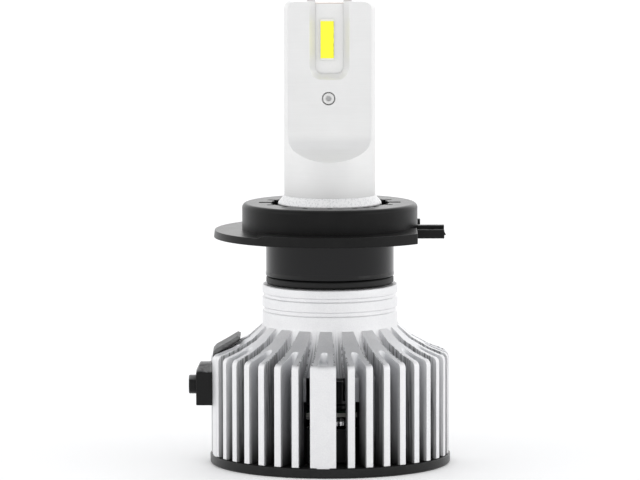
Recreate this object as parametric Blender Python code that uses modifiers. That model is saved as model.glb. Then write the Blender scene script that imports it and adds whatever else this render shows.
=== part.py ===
"""LED headlight bulb with a push-and-turn base adaptor.

The bulb stands on its base cover: the origin is the middle of the cover's underside, +Z runs up
the optical axis, -Y is the front and +X is the side of the locating tab. The sizes below are in
millimetres, and each mesh is scaled to metres when it is made. A heading is an angle in degrees
about the axis, 0 at the front and 90 on the tab's side.
"""
import math

import bmesh
import bpy
from mathutils import Matrix, Vector

MM = 0.001
TURN = 2 * math.pi
GAP = 0.1                       # clearance between pieces that touch on the real object
STEPS_WIDE, STEPS_MID, STEPS_SMALL, STEPS_TINY = 48, 36, 20, 16   # facets round a turned piece
STEPS_SINK, STEPS_COVER = 40, 60

# base cover
COVER_R, COVER_TOP = 17.84, 1.41
GRILLE_RINGS = ((5.6, 7.5), (8.0, 9.9), (10.4, 12.0))
GRILLE_SPOKES, SPOKE_WIDTH = 6, 1.0

# heat sink
SINK_R, SINK_BOTTOM = 17.65, COVER_TOP + GAP
CORE_R, FAN_BAY_R, BOARD_BAY_R = 14.6, 13.4, 12.6
LEDGE_Z, BAY_TOP, ROOF_R, ROOF_Z = 9.1, 14.4, 8.5, 16.2
COLLAR_R, COLLAR_TOP, COLLAR_FOOT = 10.02, 26.69, 20.95
GROOVES, GROOVE_DEPTH = ((24.82, 25.43), (22.70, 23.39)), 0.2
SHOULDER = ((10.18, 20.62), (12.14, 18.88), (14.82, 17.41), (16.68, 16.61))
SHOULDER_CORNER = 0.9
FIN_SPAN = 18                   # from one deep slot to the next
SLOT_HEADING, GAP_HEADING = 5.5, -3.5
SLOT_WIDTH_IN, GAP_WIDTH_IN, SLOT_WIDTH_OUT = 1.4, 0.44, 1.72
BELL_TOP, BELL_PULL, BELL_FOOT = (10.12, 20.4), (11.4, 16.6), (CORE_R, 14.35)
GAP_MOUTH = (13.7, 17.6)
BOSS_HEADINGS = (-75.5, -3.5, 104.5, 176.5)
BOSS_R, BOSS_DEPTH = 16.15, 5.6
WINDOW_LOW = (-15.5, 17.0, 10.8)        # first heading, last heading, top
WINDOW_HIGH = (-14.0, 8.5, 14.35)
SOCKET_R, SOCKET_Z, WIRE_HOLE_R = 7.05, 21.0, 2.5

# cover screws
SCREW_R, SCREW_HEAD_R, SCREW_HEAD_H, SCREW_LONG = 0.7, 1.3, 0.7, 5.0
SCREW_KEY, HEX = (0.55, -0.5, 0.5), 6   # the hexagonal recess: radius, first and last height

# fan
FAN_Z = 4.2
FAN_BOTTOM, FAN_TOP, FRAME_R, FRAME_BORE = 1.6, 6.6, 12.9, 12.15
POST_TOP = 8.3
MOTOR_BASE_R, MOTOR_BASE_Z, TUBE_R, TUBE_BOTTOM = 4.3, 5.8, 2.1, 3.35
BEARING_R, BEARING_BORE, SHAFT_R = 1.5, 0.86, 0.8
ROTOR_R, ROTOR_BOTTOM, ROTOR_WALL, ROTOR_TOP = 5.4, 2.0, 0.4, 5.5
BLADES, BLADE_TIP_R, BLADE_CHORD, BLADE_THICK = 7, 11.75, 4.6, 0.5
BLADE_PITCH, BLADE_TWIST, BLADE_Z = 42, 14, 3.85
MAGNET_THICK, MAGNET_BOTTOM, MAGNET_TOP = 0.6, 2.9, 5.3
POLE_OUT, POLE_WIDTH, SHOE_WIDTH = 4.1, 1.0, 2.6
STATOR_BOTTOM, STATOR_TOP, COIL_WALL = 3.9, 4.9, 0.35

# driver
BOARD_R, BOARD_BOTTOM, BOARD_TOP = 13.1, 8.4, 9.0
PART_Z = BOARD_TOP + GAP
TERMINAL_HEADINGS, TERMINAL_R, TERMINAL_Z = (3.5, 7.5, 13.0), 12.3, 7.0

# supply inlet and lead clip, on the heading -90
INLET_OUT, INLET_IN, INLET_HALF = -19.9, -13.3, 2.35
INLET_BOTTOM, INLET_TOP, INLET_CHAMFER, INLET_LEAN = 8.7, 14.85, 1.3, 0.9
NOSE_R, NOSE_END, NOSE_ROOT, NOSE_Z, NOSE_BORE, NOSE_DEPTH = 1.4, -21.0, 0.5, 11.6, 0.95, 2.2
PIN_R, PIN_SPACING = 0.25, 0.9
CLIP_HALF = 3.0
CLIP_SEAT, CLIP_BOTTOM = -16.0, 16.0
CLIP_TOP = ((-17.35, 16.75), (-16.9, 17.3), (-15.0, 18.35), (-13.7, 19.15), (-13.25, 18.95))
CLIP_UNDER = ((-13.45, 18.4), (-14.82, 17.58), (-16.1, 17.03))
CLIP_LEG, CLIP_LEG_HALF, CLIP_LEG_TOP = (-17.0, -15.4, 1.0), 0.5, 17.3

# hub
HUB_R, HUB_FOOT_R, HUB_FOOT_Z, HUB_TOP = 7.75, 7.6, 38.9, 39.9
SPIGOT_R, HUB_SHOULDER = 6.95, COLLAR_TOP + GAP
POST_SOCKET_R, POST_SOCKET_Z, HUB_BORE = 6.05, 32.0, 2.0
LUGS, LUG_R, LUG_BOTTOM, LUG_TOP, LUG_HALF = 3, 8.6, 30.3, 31.5, 11
LUG_HEADING = 30

# post
POST_R, POST_TOP_Z, POST_BOTTOM, POST_CORNER = 6.76, 68.66, 39.98, 1.2
TENON_R, TENON_BOTTOM = 5.95, 32.1
FLAT_Y, SCOOP_R, SCOOP_Z, SCOOP_ARC = 2.7, 3.0, 49.36, -59
POCKET_HALF, POCKET_BOTTOM, POCKET_CORNER = 2.95, 57.13, 1.8
FLOOR_HALF, FLOOR_BOTTOM, FLOOR_CORNER, FLOOR_Y = 2.075, 57.98, 1.0, 1.6
RECESS_HALF = 3.3
BLADE_HALF, BLADE_Y, BLADE_TOP, BLADE_BOTTOM = 3.2, 0.95, 68.4, 32.2
LED_BOARD_THICK, LED_HALF_X, LED_X, LED_LOW, LED_HIGH, LED_THICK = 0.45, 1.035, -0.33, 59.96, 66.03, 0.4
POST_SCREW_X, POST_SCREW_Z, POST_SCREW_HEAD, POST_SCREW_R = -0.15, 54.35, 0.92, 0.6
POST_SCREW_BORE, POST_SCREW_SINK, POST_SCREW_KEY = 1.05, 0.55, 0.42

# adaptor
RING_R, RING_IN, RING_BOTTOM, RING_TOP = 9.45, 7.95, COLLAR_TOP + GAP, 27.89
NECK_R, NECK_BORE, NECK_BOTTOM, NECK_TOP = 9.54, 7.9, 27.99, 36.7
CHANNEL_R, CHANNEL_HALF, LOCK_TURN = 8.8, 13, 25
FLANGE_R, FLANGE_DRAFT, FLANGE_BOTTOM, FLANGE_TOP, FLANGE_BORE = 17.2, 0.2, 33.68, 35.2, 9.64
FLANGE_FLAT_X, LOBE_TOP, LOBE_X, LOBE_RAMP = 12.85, 34.78, -10.7, 1.5
DISC_R, DISC_TOP, DISC_CORNER, DISC_BORE, DISC_HOLE, DISC_WALL_Z = 13.0, 38.74, 0.7, 9.7, 8.75, 36.9
SLITS, SLIT, SLIT_WIDE = 16, (0.76, 10.0), (1.3, 10.5)      # width, outer end
SLITS_WIDE = (0, 8)
NOTCH_HEADING, NOTCH_WIDTH = 35, 1.3
TAB_HALF, TAB_END, TAB_TOP = 3.95, 16.9, 35.0
RIB_NEAR, RIB_FAR, RIB_TOP, TIP_END = -2.0, -0.8, 35.5, 17.2
BUMP = ((12.4, 2.6, 34.6), (13.45, 3.6, 35.95))

COLOURS = {                     # colour, roughness, metallic
    "cast_aluminium": ((0.80, 0.81, 0.82), 0.55, 0.6),
    "machined_aluminium": ((0.82, 0.82, 0.83), 0.4, 0.7),
    "black_plastic": ((0.033, 0.033, 0.034), 0.5, 0.0),
    "gloss_black": ((0.020, 0.020, 0.021), 0.25, 0.0),
    "seal_rubber": ((0.010, 0.010, 0.010), 0.6, 0.0),
    "fan_plastic": ((0.025, 0.025, 0.027), 0.45, 0.0),
    "steel": ((0.56, 0.56, 0.57), 0.35, 1.0),
    "brass": ((0.70, 0.52, 0.25), 0.35, 1.0),
    "copper": ((0.72, 0.38, 0.25), 0.35, 1.0),
    "ferrite": ((0.06, 0.06, 0.065), 0.6, 0.0),
    "board_green": ((0.03, 0.12, 0.07), 0.45, 0.0),
    "board_white": ((0.86, 0.86, 0.85), 0.45, 0.0),
    "chip_black": ((0.02, 0.02, 0.02), 0.4, 0.0),
    "solder": ((0.75, 0.75, 0.77), 0.25, 1.0),
    "phosphor": ((0.95, 0.92, 0.08), 0.5, 0.0),
    "wire_red": ((0.45, 0.03, 0.03), 0.45, 0.0),
}


# --- scene ----------------------------------------------------------------------------------

def clear_scene():
    for obj in list(bpy.data.objects):
        bpy.data.objects.remove(obj, do_unlink=True)


def new_collection(name):
    collection = bpy.data.collections.new(name)
    bpy.context.scene.collection.children.link(collection)
    return collection


def new_material(name):
    colour, roughness, metallic = COLOURS[name]
    material = bpy.data.materials.new(name)
    material.use_nodes = True
    shader = material.node_tree.nodes["Principled BSDF"]
    shader.inputs["Base Color"].default_value = (*colour, 1)
    shader.inputs["Roughness"].default_value = roughness
    shader.inputs["Metallic"].default_value = metallic
    return material


clear_scene()
PARTS = new_collection("headlight_bulb")
CUTTERS = new_collection("cutters")
MATERIALS = {name: new_material(name) for name in COLOURS}


def place(obj, finish=None, location=(0, 0, 0), rotation=(0, 0, 0), parent=None):
    """Link a piece, or a cutter when it has no finish, and put it where it belongs."""
    obj.location = Vector(location) * MM
    obj.rotation_euler = rotation
    if parent is not None:
        obj.parent = parent
        obj.location -= parent.location
    if finish is None:
        CUTTERS.objects.link(obj)
        obj.hide_render = True
        obj.display_type = "WIRE"
    else:
        PARTS.objects.link(obj)
        obj.data.materials.append(MATERIALS[finish])
    return obj


def mesh_piece(name, bm, finish=None, **where):
    """Make an object of a bmesh whose sizes are in millimetres."""
    bmesh.ops.scale(bm, vec=(MM, MM, MM), verts=bm.verts)
    mesh = bpy.data.meshes.new(name)
    bm.to_mesh(mesh)
    bm.free()
    return place(bpy.data.objects.new(name, mesh), finish, **where)


def joint_empty(name, height):
    """An empty on the axis, which carries the pieces that move together."""
    empty = bpy.data.objects.new(name, None)
    empty.location = (0, 0, height * MM)
    PARTS.objects.link(empty)
    return empty


def boolean(obj, other, operation="DIFFERENCE"):
    modifier = obj.modifiers.new(operation.lower(), "BOOLEAN")
    modifier.operation = operation
    modifier.solver = "EXACT"
    modifier.object = other


# --- shapes ---------------------------------------------------------------------------------

def heading(degrees):
    """The turn about Z that carries the +X direction to a heading."""
    return math.radians(degrees - 90)


def on_heading(degrees, radius, height):
    angle = heading(degrees)
    return radius * math.cos(angle), radius * math.sin(angle), height


def arc(x, z, radius, first, last, steps=4):
    """Points on a round corner about (x, z), its angles in degrees from +X towards +Z."""
    angles = [math.radians(first + (last - first) * i / steps) for i in range(steps + 1)]
    return [(x + radius * math.cos(a), z + radius * math.sin(a)) for a in angles]


def turned(name, profile, finish=None, steps=STEPS_MID, **where):
    """A body turned about Z. The profile (radius, height) runs down its outer side."""
    bm = bmesh.new()
    verts = [bm.verts.new((r, 0, z)) for r, z in profile]
    for first, second in zip(verts, verts[1:]):
        bm.edges.new((first, second))
    if profile[0][0] > 0:
        bm.edges.new((verts[-1], verts[0]))
    obj = mesh_piece(name, bm, finish, **where)
    screw = obj.modifiers.new("turn", "SCREW")
    screw.angle = TURN
    screw.steps = screw.render_steps = steps
    screw.use_merge_vertices = True
    screw.merge_threshold = 1e-6
    screw.use_smooth_shade = False
    return obj


def rod(radius, bottom, top, steps=STEPS_TINY):
    """A bmesh cylinder about Z."""
    bm = bmesh.new()
    middle = Matrix.Translation((0, 0, (bottom + top) / 2))
    bmesh.ops.create_cone(bm, cap_ends=True, segments=steps, radius1=radius, radius2=radius,
                          depth=top - bottom, matrix=middle)
    return bm


def tube(inner, outer, bottom, top):
    return [(inner, top), (outer, top), (outer, bottom), (inner, bottom)]


def block(low, high):
    """A bmesh box between two corners."""
    bm = bmesh.new()
    low, high = Vector(low), Vector(high)
    size = Matrix.Diagonal((*(high - low), 1))
    bmesh.ops.create_cube(bm, size=1, matrix=Matrix.Translation((low + high) / 2) @ size)
    return bm


def prism(outline, first, last):
    """A bmesh solid: an outline (x, z) drawn out along Y."""
    bm = bmesh.new()
    face = bm.faces.new([bm.verts.new((x, first, z)) for x, z in outline])
    drawn = bmesh.ops.extrude_face_region(bm, geom=[face])["geom"]
    moved = [item for item in drawn if isinstance(item, bmesh.types.BMVert)]
    bmesh.ops.translate(bm, verts=moved, vec=(0, last - first, 0))
    bmesh.ops.recalc_face_normals(bm, faces=bm.faces)
    return bm


def sector(inner, outer, bottom, top, first, last, steps):
    """A bmesh solid between two radii, two heights and two headings."""
    bm = bmesh.new()
    corners = ((inner, bottom), (outer, bottom), (outer, top), (inner, top))
    verts = [bm.verts.new((r, 0, z)) for r, z in corners]
    edges = [bm.edges.new((verts[i - 1], verts[i])) for i in range(4)]
    bmesh.ops.rotate(bm, verts=verts, matrix=Matrix.Rotation(heading(first), 3, "Z"))
    bmesh.ops.spin(bm, geom=verts + edges, axis=(0, 0, 1), angle=math.radians(last - first),
                   steps=steps)
    bmesh.ops.holes_fill(bm, edges=[edge for edge in bm.edges if edge.is_boundary])
    bmesh.ops.recalc_face_normals(bm, faces=bm.faces)
    return bm


def copies(bm, angles):
    """Repeat the shape in bm at each turn about Z, in radians."""
    shape = bm.verts[:] + bm.edges[:] + bm.faces[:]
    first_verts = bm.verts[:]
    for angle in angles:
        geometry = bmesh.ops.duplicate(bm, geom=shape)["geom"]
        verts = [item for item in geometry if isinstance(item, bmesh.types.BMVert)]
        bmesh.ops.rotate(bm, verts=verts, matrix=Matrix.Rotation(angle, 3, "Z"))
    bmesh.ops.delete(bm, geom=first_verts, context="VERTS")
    return bm


def wire(name, points, radius, finish):
    """A round wire through hand-placed points, in millimetres."""
    curve = bpy.data.curves.new(name, "CURVE")
    curve.dimensions = "3D"
    curve.bevel_depth = radius * MM
    curve.bevel_resolution = 2
    curve.use_fill_caps = True
    spline = curve.splines.new("POLY")
    spline.points.add(len(points) - 1)
    for point, position in zip(spline.points, points):
        point.co = (*(Vector(position) * MM), 1)
    return place(bpy.data.objects.new(name, curve), finish)


# --- base cover and its screws --------------------------------------------------------------

def make_base_cover():
    profile = [(0, COVER_TOP), (COVER_R - 0.15, COVER_TOP), (COVER_R, COVER_TOP - 0.15),
               (COVER_R, 0.25), (COVER_R - 0.25, 0), (0, 0)]
    cover = turned("base_cover", profile, "black_plastic", steps=STEPS_COVER)
    half_turn = 180 / GRILLE_SPOKES
    for number, (inner, outer) in enumerate(GRILLE_RINGS):
        spoke = math.degrees(SPOKE_WIDTH / (inner + outer))
        opening = sector(inner, outer, -1, COVER_TOP + 1, 90 - half_turn + spoke,
                         90 + half_turn - spoke, 4)
        copies(opening, [TURN * i / GRILLE_SPOKES for i in range(GRILLE_SPOKES)])
        boolean(cover, mesh_piece(f"grille_cutter_{number + 1}", opening))
    for number, boss in enumerate(BOSS_HEADINGS):
        centre = on_heading(boss, BOSS_R, 0)
        sink = rod(SCREW_HEAD_R + GAP, -1, SCREW_HEAD_H + GAP)
        boolean(cover, mesh_piece(f"cover_sink_{number + 1}", sink, location=centre))
        hole = rod(SCREW_R + GAP, 0.3, COVER_TOP + 1)
        boolean(cover, mesh_piece(f"cover_hole_{number + 1}", hole, location=centre))


def make_cover_screws():
    top = SCREW_HEAD_H + SCREW_LONG
    profile = [(0, top), (SCREW_R - 0.3, top), (SCREW_R, top - 0.5), (SCREW_R, SCREW_HEAD_H),
               (SCREW_HEAD_R, SCREW_HEAD_H), (SCREW_HEAD_R, 0.25), (SCREW_HEAD_R - 0.2, 0.1), (0, 0.1)]
    for number, boss in enumerate(BOSS_HEADINGS):
        centre = on_heading(boss, BOSS_R, 0)
        screw = turned(f"cover_screw_{number + 1}", profile, "steel", steps=STEPS_TINY, location=centre)
        recess = mesh_piece(f"cover_key_{number + 1}", rod(*SCREW_KEY, steps=HEX), location=centre)
        boolean(screw, recess)


# --- heat sink ------------------------------------------------------------------------------

def sink_profile():
    outside = [(SOCKET_R, COLLAR_TOP), (COLLAR_R - 0.15, COLLAR_TOP), (COLLAR_R, COLLAR_TOP - 0.2)]
    for low, high in GROOVES:
        floor = COLLAR_R - GROOVE_DEPTH
        outside += [(COLLAR_R, high), (floor, high - 0.1), (floor, low + 0.1), (COLLAR_R, low)]
    outside += [(COLLAR_R, COLLAR_FOOT), *SHOULDER]
    corner_x = SINK_R - SHOULDER_CORNER
    outside += arc(corner_x, SHOULDER[-1][1] - SHOULDER_CORNER, SHOULDER_CORNER, 75, 0, 3)
    inside = [(SINK_R, SINK_BOTTOM), (FAN_BAY_R, SINK_BOTTOM), (FAN_BAY_R, LEDGE_Z),
              (BOARD_BAY_R, LEDGE_Z), (BOARD_BAY_R, BAY_TOP), (ROOF_R, ROOF_Z),
              (WIRE_HOLE_R, ROOF_Z), (WIRE_HOLE_R, SOCKET_Z), (SOCKET_R, SOCKET_Z)]
    return outside + inside


def slot_shape(outline, width_in):
    """A gap between two fins, along +X, that widens from the axis outwards."""
    bm = prism(outline, -0.5, 0.5)
    for vert in bm.verts:
        reach = (vert.co.x - BELL_TOP[0]) / (SINK_R - BELL_TOP[0])
        vert.co.y *= width_in + (SLOT_WIDTH_OUT - width_in) * reach
    return bm


def bell_curve(steps=4):
    """The round-backed floor of a deep slot, from the collar down to the core's wall."""
    points = []
    for i in range(steps + 1):
        t = i / steps
        weights = ((1 - t) ** 2, 2 * t * (1 - t), t * t)
        points.append(tuple(sum(w * p[axis] for w, p in zip(weights, (BELL_TOP, BELL_PULL, BELL_FOOT)))
                            for axis in (0, 1)))
    return points


def make_heat_sink():
    sink = turned("heat_sink", sink_profile(), "cast_aluminium", steps=STEPS_SINK)
    beyond, above, below = SINK_R + 1.5, COLLAR_FOOT + 0.4, SINK_BOTTOM - 1
    around = [(CORE_R, below), (beyond, below), (beyond, above)]
    deep = slot_shape([(BELL_TOP[0], above), *bell_curve(), *around], SLOT_WIDTH_IN)
    turns = range(360 // FIN_SPAN)
    copies(deep, [heading(SLOT_HEADING + FIN_SPAN * i) for i in turns])
    boolean(sink, mesh_piece("deep_slot_cutters", deep))
    mouth = [(GAP_MOUTH[0], above), GAP_MOUTH, (CORE_R, BELL_FOOT[1])]
    shallow = slot_shape([*mouth, *around], GAP_WIDTH_IN)
    headings = [GAP_HEADING + FIN_SPAN * i for i in turns]
    filled = {boss % 360 for boss in BOSS_HEADINGS}
    copies(shallow, [heading(h) for h in headings if h % 360 not in filled])
    boolean(sink, mesh_piece("shallow_gap_cutters", shallow))
    for label, (first, last, top) in (("low", WINDOW_LOW), ("high", WINDOW_HIGH)):
        steps = 6 if label == "low" else 4
        window = sector(12.2, CORE_R + 0.25, below, top, first, last, steps)
        copies(window, [0, math.pi])
        boolean(sink, mesh_piece(f"window_cutter_{label}", window))
    notch = block((INLET_OUT - 1, -INLET_HALF - GAP, INLET_BOTTOM - GAP),
                  (-12.0, INLET_HALF + GAP, INLET_TOP + GAP))
    boolean(sink, mesh_piece("inlet_notch_cutter", notch))
    seat = block((-SINK_R - 1, -CLIP_HALF - GAP, CLIP_BOTTOM), (CLIP_SEAT, CLIP_HALF + GAP, COLLAR_FOOT))
    boolean(sink, mesh_piece("clip_seat_cutter", seat))
    for number, boss in enumerate(BOSS_HEADINGS):
        hole = rod(SCREW_R + GAP / 2, below, SINK_BOTTOM + BOSS_DEPTH)
        boolean(sink, mesh_piece(f"boss_hole_{number + 1}", hole, location=on_heading(boss, BOSS_R, 0)))


# --- fan ------------------------------------------------------------------------------------

def make_fan_frame():
    profile = [(MOTOR_BASE_R, FAN_TOP), (MOTOR_BASE_R, MOTOR_BASE_Z), (TUBE_R, MOTOR_BASE_Z),
               (TUBE_R, TUBE_BOTTOM), (BEARING_R + GAP, TUBE_BOTTOM), (BEARING_R + GAP, FAN_TOP - 0.3),
               (0, FAN_TOP - 0.3)]
    frame = turned("fan_frame", [(0, FAN_TOP), *profile], "fan_plastic", steps=STEPS_SMALL)
    ring = turned("frame_ring", tube(FRAME_BORE, FRAME_R, FAN_BOTTOM, FAN_TOP), steps=STEPS_WIDE)
    boolean(frame, ring, "UNION")
    strut = block((MOTOR_BASE_R - 0.4, -0.9, MOTOR_BASE_Z + 0.15),
                  (FRAME_BORE + 0.4, 0.9, FAN_TOP - 0.1))
    copies(strut, [math.radians(20 + 120 * i) for i in range(3)])
    boolean(frame, mesh_piece("frame_struts", strut), "UNION")
    stand = block((FRAME_BORE + 0.15, -1.2, FAN_TOP - 0.5), (FRAME_R - 0.15, 1.2, POST_TOP))
    copies(stand, [math.radians(80 + 120 * i) for i in range(3)])
    boolean(frame, mesh_piece("frame_stands", stand), "UNION")


def make_fan_stator():
    core = turned("fan_stator", tube(TUBE_R + 0.05, TUBE_R + 0.5, STATOR_BOTTOM, STATOR_TOP), "steel",
                  steps=STEPS_SMALL)
    arms = block((TUBE_R + 0.2, -POLE_WIDTH / 2, STATOR_BOTTOM + 0.05),
                 (POLE_OUT - 0.3, POLE_WIDTH / 2, STATOR_TOP - 0.05))
    quarter = [math.radians(45 + 90 * i) for i in range(4)]
    boolean(core, mesh_piece("stator_arms", copies(arms, quarter)), "UNION")
    span = math.degrees(SHOE_WIDTH / POLE_OUT)
    shoes = sector(POLE_OUT - 0.45, POLE_OUT, STATOR_BOTTOM, STATOR_TOP, 90 - span, 90 + span, 6)
    boolean(core, mesh_piece("stator_shoes", copies(shoes, quarter)), "UNION")
    inner, outer = TUBE_R + 0.55, POLE_OUT - 0.7
    for number, angle in enumerate(quarter):
        half, rise = POLE_WIDTH / 2 + GAP / 2, GAP / 2
        name = f"fan_coil_{number + 1}"
        bm = block((inner, -half - COIL_WALL, STATOR_BOTTOM - rise - COIL_WALL),
                   (outer, half + COIL_WALL, STATOR_TOP + rise + COIL_WALL))
        coil = mesh_piece(name, bm, "copper", rotation=(0, 0, angle))
        hole = block((inner - 1, -half, STATOR_BOTTOM - rise), (outer + 1, half, STATOR_TOP + rise))
        boolean(coil, mesh_piece(f"coil_core_{number + 1}", hole, rotation=(0, 0, angle)))


def make_blades():
    """Flat blades set at a pitch, and twisted from the rotor's side to the tip."""
    root = ROTOR_R - 0.3
    bm = block((root, -BLADE_THICK / 2, -BLADE_CHORD / 2), (BLADE_TIP_R, BLADE_THICK / 2, BLADE_CHORD / 2))
    along = [edge for edge in bm.edges if abs(edge.verts[0].co.x - edge.verts[1].co.x) > GAP]
    bmesh.ops.subdivide_edges(bm, edges=along, cuts=2)
    for vert in bm.verts:
        reach = (vert.co.x - root) / (BLADE_TIP_R - root)
        vert.co = Matrix.Rotation(math.radians(BLADE_PITCH + BLADE_TWIST * reach), 3, "X") @ vert.co
    return copies(bm, [TURN * i / BLADES for i in range(BLADES)])


def make_fan_rotor():
    axis = joint_empty("fan_axis", FAN_Z)
    wall = ROTOR_R - ROTOR_WALL
    cap = ROTOR_BOTTOM + 0.6
    profile = [(0, cap), (wall, cap), (wall, ROTOR_TOP), (ROTOR_R, ROTOR_TOP), (ROTOR_R, ROTOR_BOTTOM + 0.4),
               (ROTOR_R - 0.4, ROTOR_BOTTOM), (0, ROTOR_BOTTOM)]
    rotor = turned("fan_rotor", profile, "fan_plastic", parent=axis)
    blades = mesh_piece("rotor_blades", make_blades(), location=(0, 0, BLADE_Z))
    boolean(rotor, blades, "UNION")
    magnet = tube(wall - GAP / 2 - MAGNET_THICK, wall - GAP / 2, MAGNET_BOTTOM, MAGNET_TOP)
    turned("fan_magnet", magnet, "ferrite", parent=axis)
    shaft = rod(SHAFT_R, cap + GAP / 2, FAN_TOP - 0.45, steps=STEPS_SMALL)
    mesh_piece("fan_shaft", shaft, "steel", parent=axis)
    bearing = tube(BEARING_BORE, BEARING_R, TUBE_BOTTOM + 0.05, FAN_TOP - 0.4)
    turned("fan_bearing", bearing, "brass", steps=STEPS_SMALL)


# --- driver electronics ---------------------------------------------------------------------

def make_driver():
    mesh_piece("driver_board", rod(BOARD_R, BOARD_BOTTOM, BOARD_TOP, steps=STEPS_WIDE), "board_green")
    can = [(0, 4.5), (1.85, 4.5), (2.0, 4.35), (2.0, 0.9), (1.85, 0.75), (2.0, 0.6), (2.0, 0), (0, 0)]
    for number, (x, y) in enumerate(((2.0, -8.7), (-7.2, -5.2))):
        turned(f"driver_capacitor_{number + 1}", can, "machined_aluminium", steps=STEPS_SMALL,
               location=(x, y, PART_Z))
    drum = [(0, 4.0), (3.2, 4.0), (3.2, 3.2), (2.6, 3.0), (2.6, 1.0), (3.2, 0.8), (3.2, 0), (0, 0)]
    turned("driver_inductor", drum, "ferrite", steps=STEPS_SMALL, location=(5.6, 3.6, PART_Z))
    mesh_piece("driver_controller", block((-2.5, -2.0, 0), (2.5, 2.0, 1.5)), "chip_black",
               location=(-5.6, 5.2, PART_Z))
    mesh_piece("driver_mosfet", block((-2.4, -3.0, 0), (2.4, 3.0, 2.2)), "chip_black",
               location=(-2.2, -3.5, PART_Z))
    for number, place_on in enumerate(TERMINAL_HEADINGS):
        pad = block((-0.55, -0.4, 0), (0.55, 0.4, BOARD_BOTTOM - GAP - TERMINAL_Z))
        mesh_piece(f"driver_terminal_{number + 1}", pad, "solder",
                   location=on_heading(place_on, TERMINAL_R, TERMINAL_Z),
                   rotation=(0, 0, heading(place_on)))


def make_led_wires():
    for name, side, finish in (("led_wire_plus", -1, "wire_red"), ("led_wire_minus", 1, "seal_rubber")):
        points = [(0, side * 1.2, 32.0), (0, side * 1.2, 17.0), (side * -0.6, side * 1.5, 13.5),
                  (side * -1.6, side * 3.4 + 3.6, 11.2), (side * -1.7, side * 3.4 + 3.8, PART_Z)]
        wire(name, points, 0.45, finish)


# --- supply inlet and lead clip -------------------------------------------------------------

def make_inlet():
    bottom, top, chamfer = INLET_BOTTOM, INLET_TOP, INLET_CHAMFER
    outline = [(INLET_IN, bottom), (INLET_IN, top), (INLET_OUT + 0.6, top), (INLET_OUT, top - chamfer),
               (INLET_OUT, bottom)]
    body = mesh_piece("inlet_block", prism(outline, -INLET_HALF, INLET_HALF), "black_plastic")
    rise = 1
    over = INLET_HALF - INLET_LEAN * (chamfer + rise) / chamfer
    lean = [(INLET_HALF, top - chamfer), (INLET_HALF + 1, top - chamfer), (INLET_HALF + 1, top + rise),
            (over, top + rise)]
    shave = prism(lean, SINK_R + 0.2, -INLET_OUT + 1)
    bmesh.ops.rotate(shave, verts=shave.verts, matrix=Matrix.Rotation(math.pi / 2, 3, "Z"))
    bmesh.ops.mirror(shave, geom=shave.verts[:] + shave.edges[:] + shave.faces[:], axis="Y")
    bmesh.ops.recalc_face_normals(shave, faces=shave.faces)
    boolean(body, mesh_piece("inlet_shave", shave))
    sideways = (0, -math.pi / 2, 0)
    nose = rod(NOSE_R, 0, INLET_OUT - NOSE_END + NOSE_ROOT, steps=STEPS_SMALL)
    boolean(body, mesh_piece("inlet_nose", nose, location=(INLET_OUT + NOSE_ROOT, 0, NOSE_Z),
                             rotation=sideways), "UNION")
    bore = mesh_piece("inlet_bore", rod(NOSE_BORE, -NOSE_DEPTH, 1, steps=STEPS_SMALL),
                      location=(NOSE_END, 0, NOSE_Z), rotation=sideways)
    boolean(body, bore)
    for number, side in enumerate((-1, 1)):
        y = side * PIN_SPACING / 2
        hole = rod(PIN_R + GAP / 2, 0, INLET_IN + 1 - NOSE_END - NOSE_DEPTH / 2)
        boolean(body, mesh_piece(f"pin_hole_{number + 1}", hole, location=(INLET_IN + 1, y, NOSE_Z),
                                 rotation=sideways))
        bend = [(-12.75, y, NOSE_Z), (-12.45, y, NOSE_Z - 0.1), (-12.25, y, NOSE_Z - 0.35)]
        wire(f"inlet_pin_{number + 1}", [(NOSE_END + 0.4, y, NOSE_Z), *bend, (-12.2, y, PART_Z)],
             PIN_R, "solder")


def make_lead_clip():
    foot = CLIP_BOTTOM + GAP
    outline = [(CLIP_TOP[0][0], foot), *CLIP_TOP, *CLIP_UNDER, (CLIP_UNDER[-1][0], foot)]
    clip = mesh_piece("lead_clip", prism(outline, -CLIP_HALF, CLIP_HALF), "black_plastic")
    outer, inner, y = CLIP_LEG
    leg = block((outer, y - CLIP_LEG_HALF, INLET_TOP + 2 * GAP),
                (inner, y + CLIP_LEG_HALF, CLIP_LEG_TOP))
    boolean(clip, mesh_piece("clip_leg", leg), "UNION")


# --- hub and post ---------------------------------------------------------------------------

def make_hub():
    profile = [(POST_SOCKET_R, HUB_TOP), (POST_R, HUB_TOP), (POST_R + 0.3, HUB_TOP - 0.35),
               (HUB_FOOT_R, HUB_FOOT_Z), (HUB_R, HUB_FOOT_Z - 0.5), (HUB_R, HUB_SHOULDER),
               (SPIGOT_R, HUB_SHOULDER), (SPIGOT_R, SOCKET_Z + GAP), (HUB_BORE, SOCKET_Z + GAP),
               (HUB_BORE, POST_SOCKET_Z), (POST_SOCKET_R, POST_SOCKET_Z)]
    hub = turned("hub", profile, "cast_aluminium")
    lug = sector(HUB_R - 0.5, LUG_R, LUG_BOTTOM, LUG_TOP, LUG_HEADING - LUG_HALF,
                 LUG_HEADING + LUG_HALF, 4)
    copies(lug, [TURN * i / LUGS for i in range(LUGS)])
    boolean(hub, mesh_piece("hub_lugs", lug), "UNION")


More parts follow.
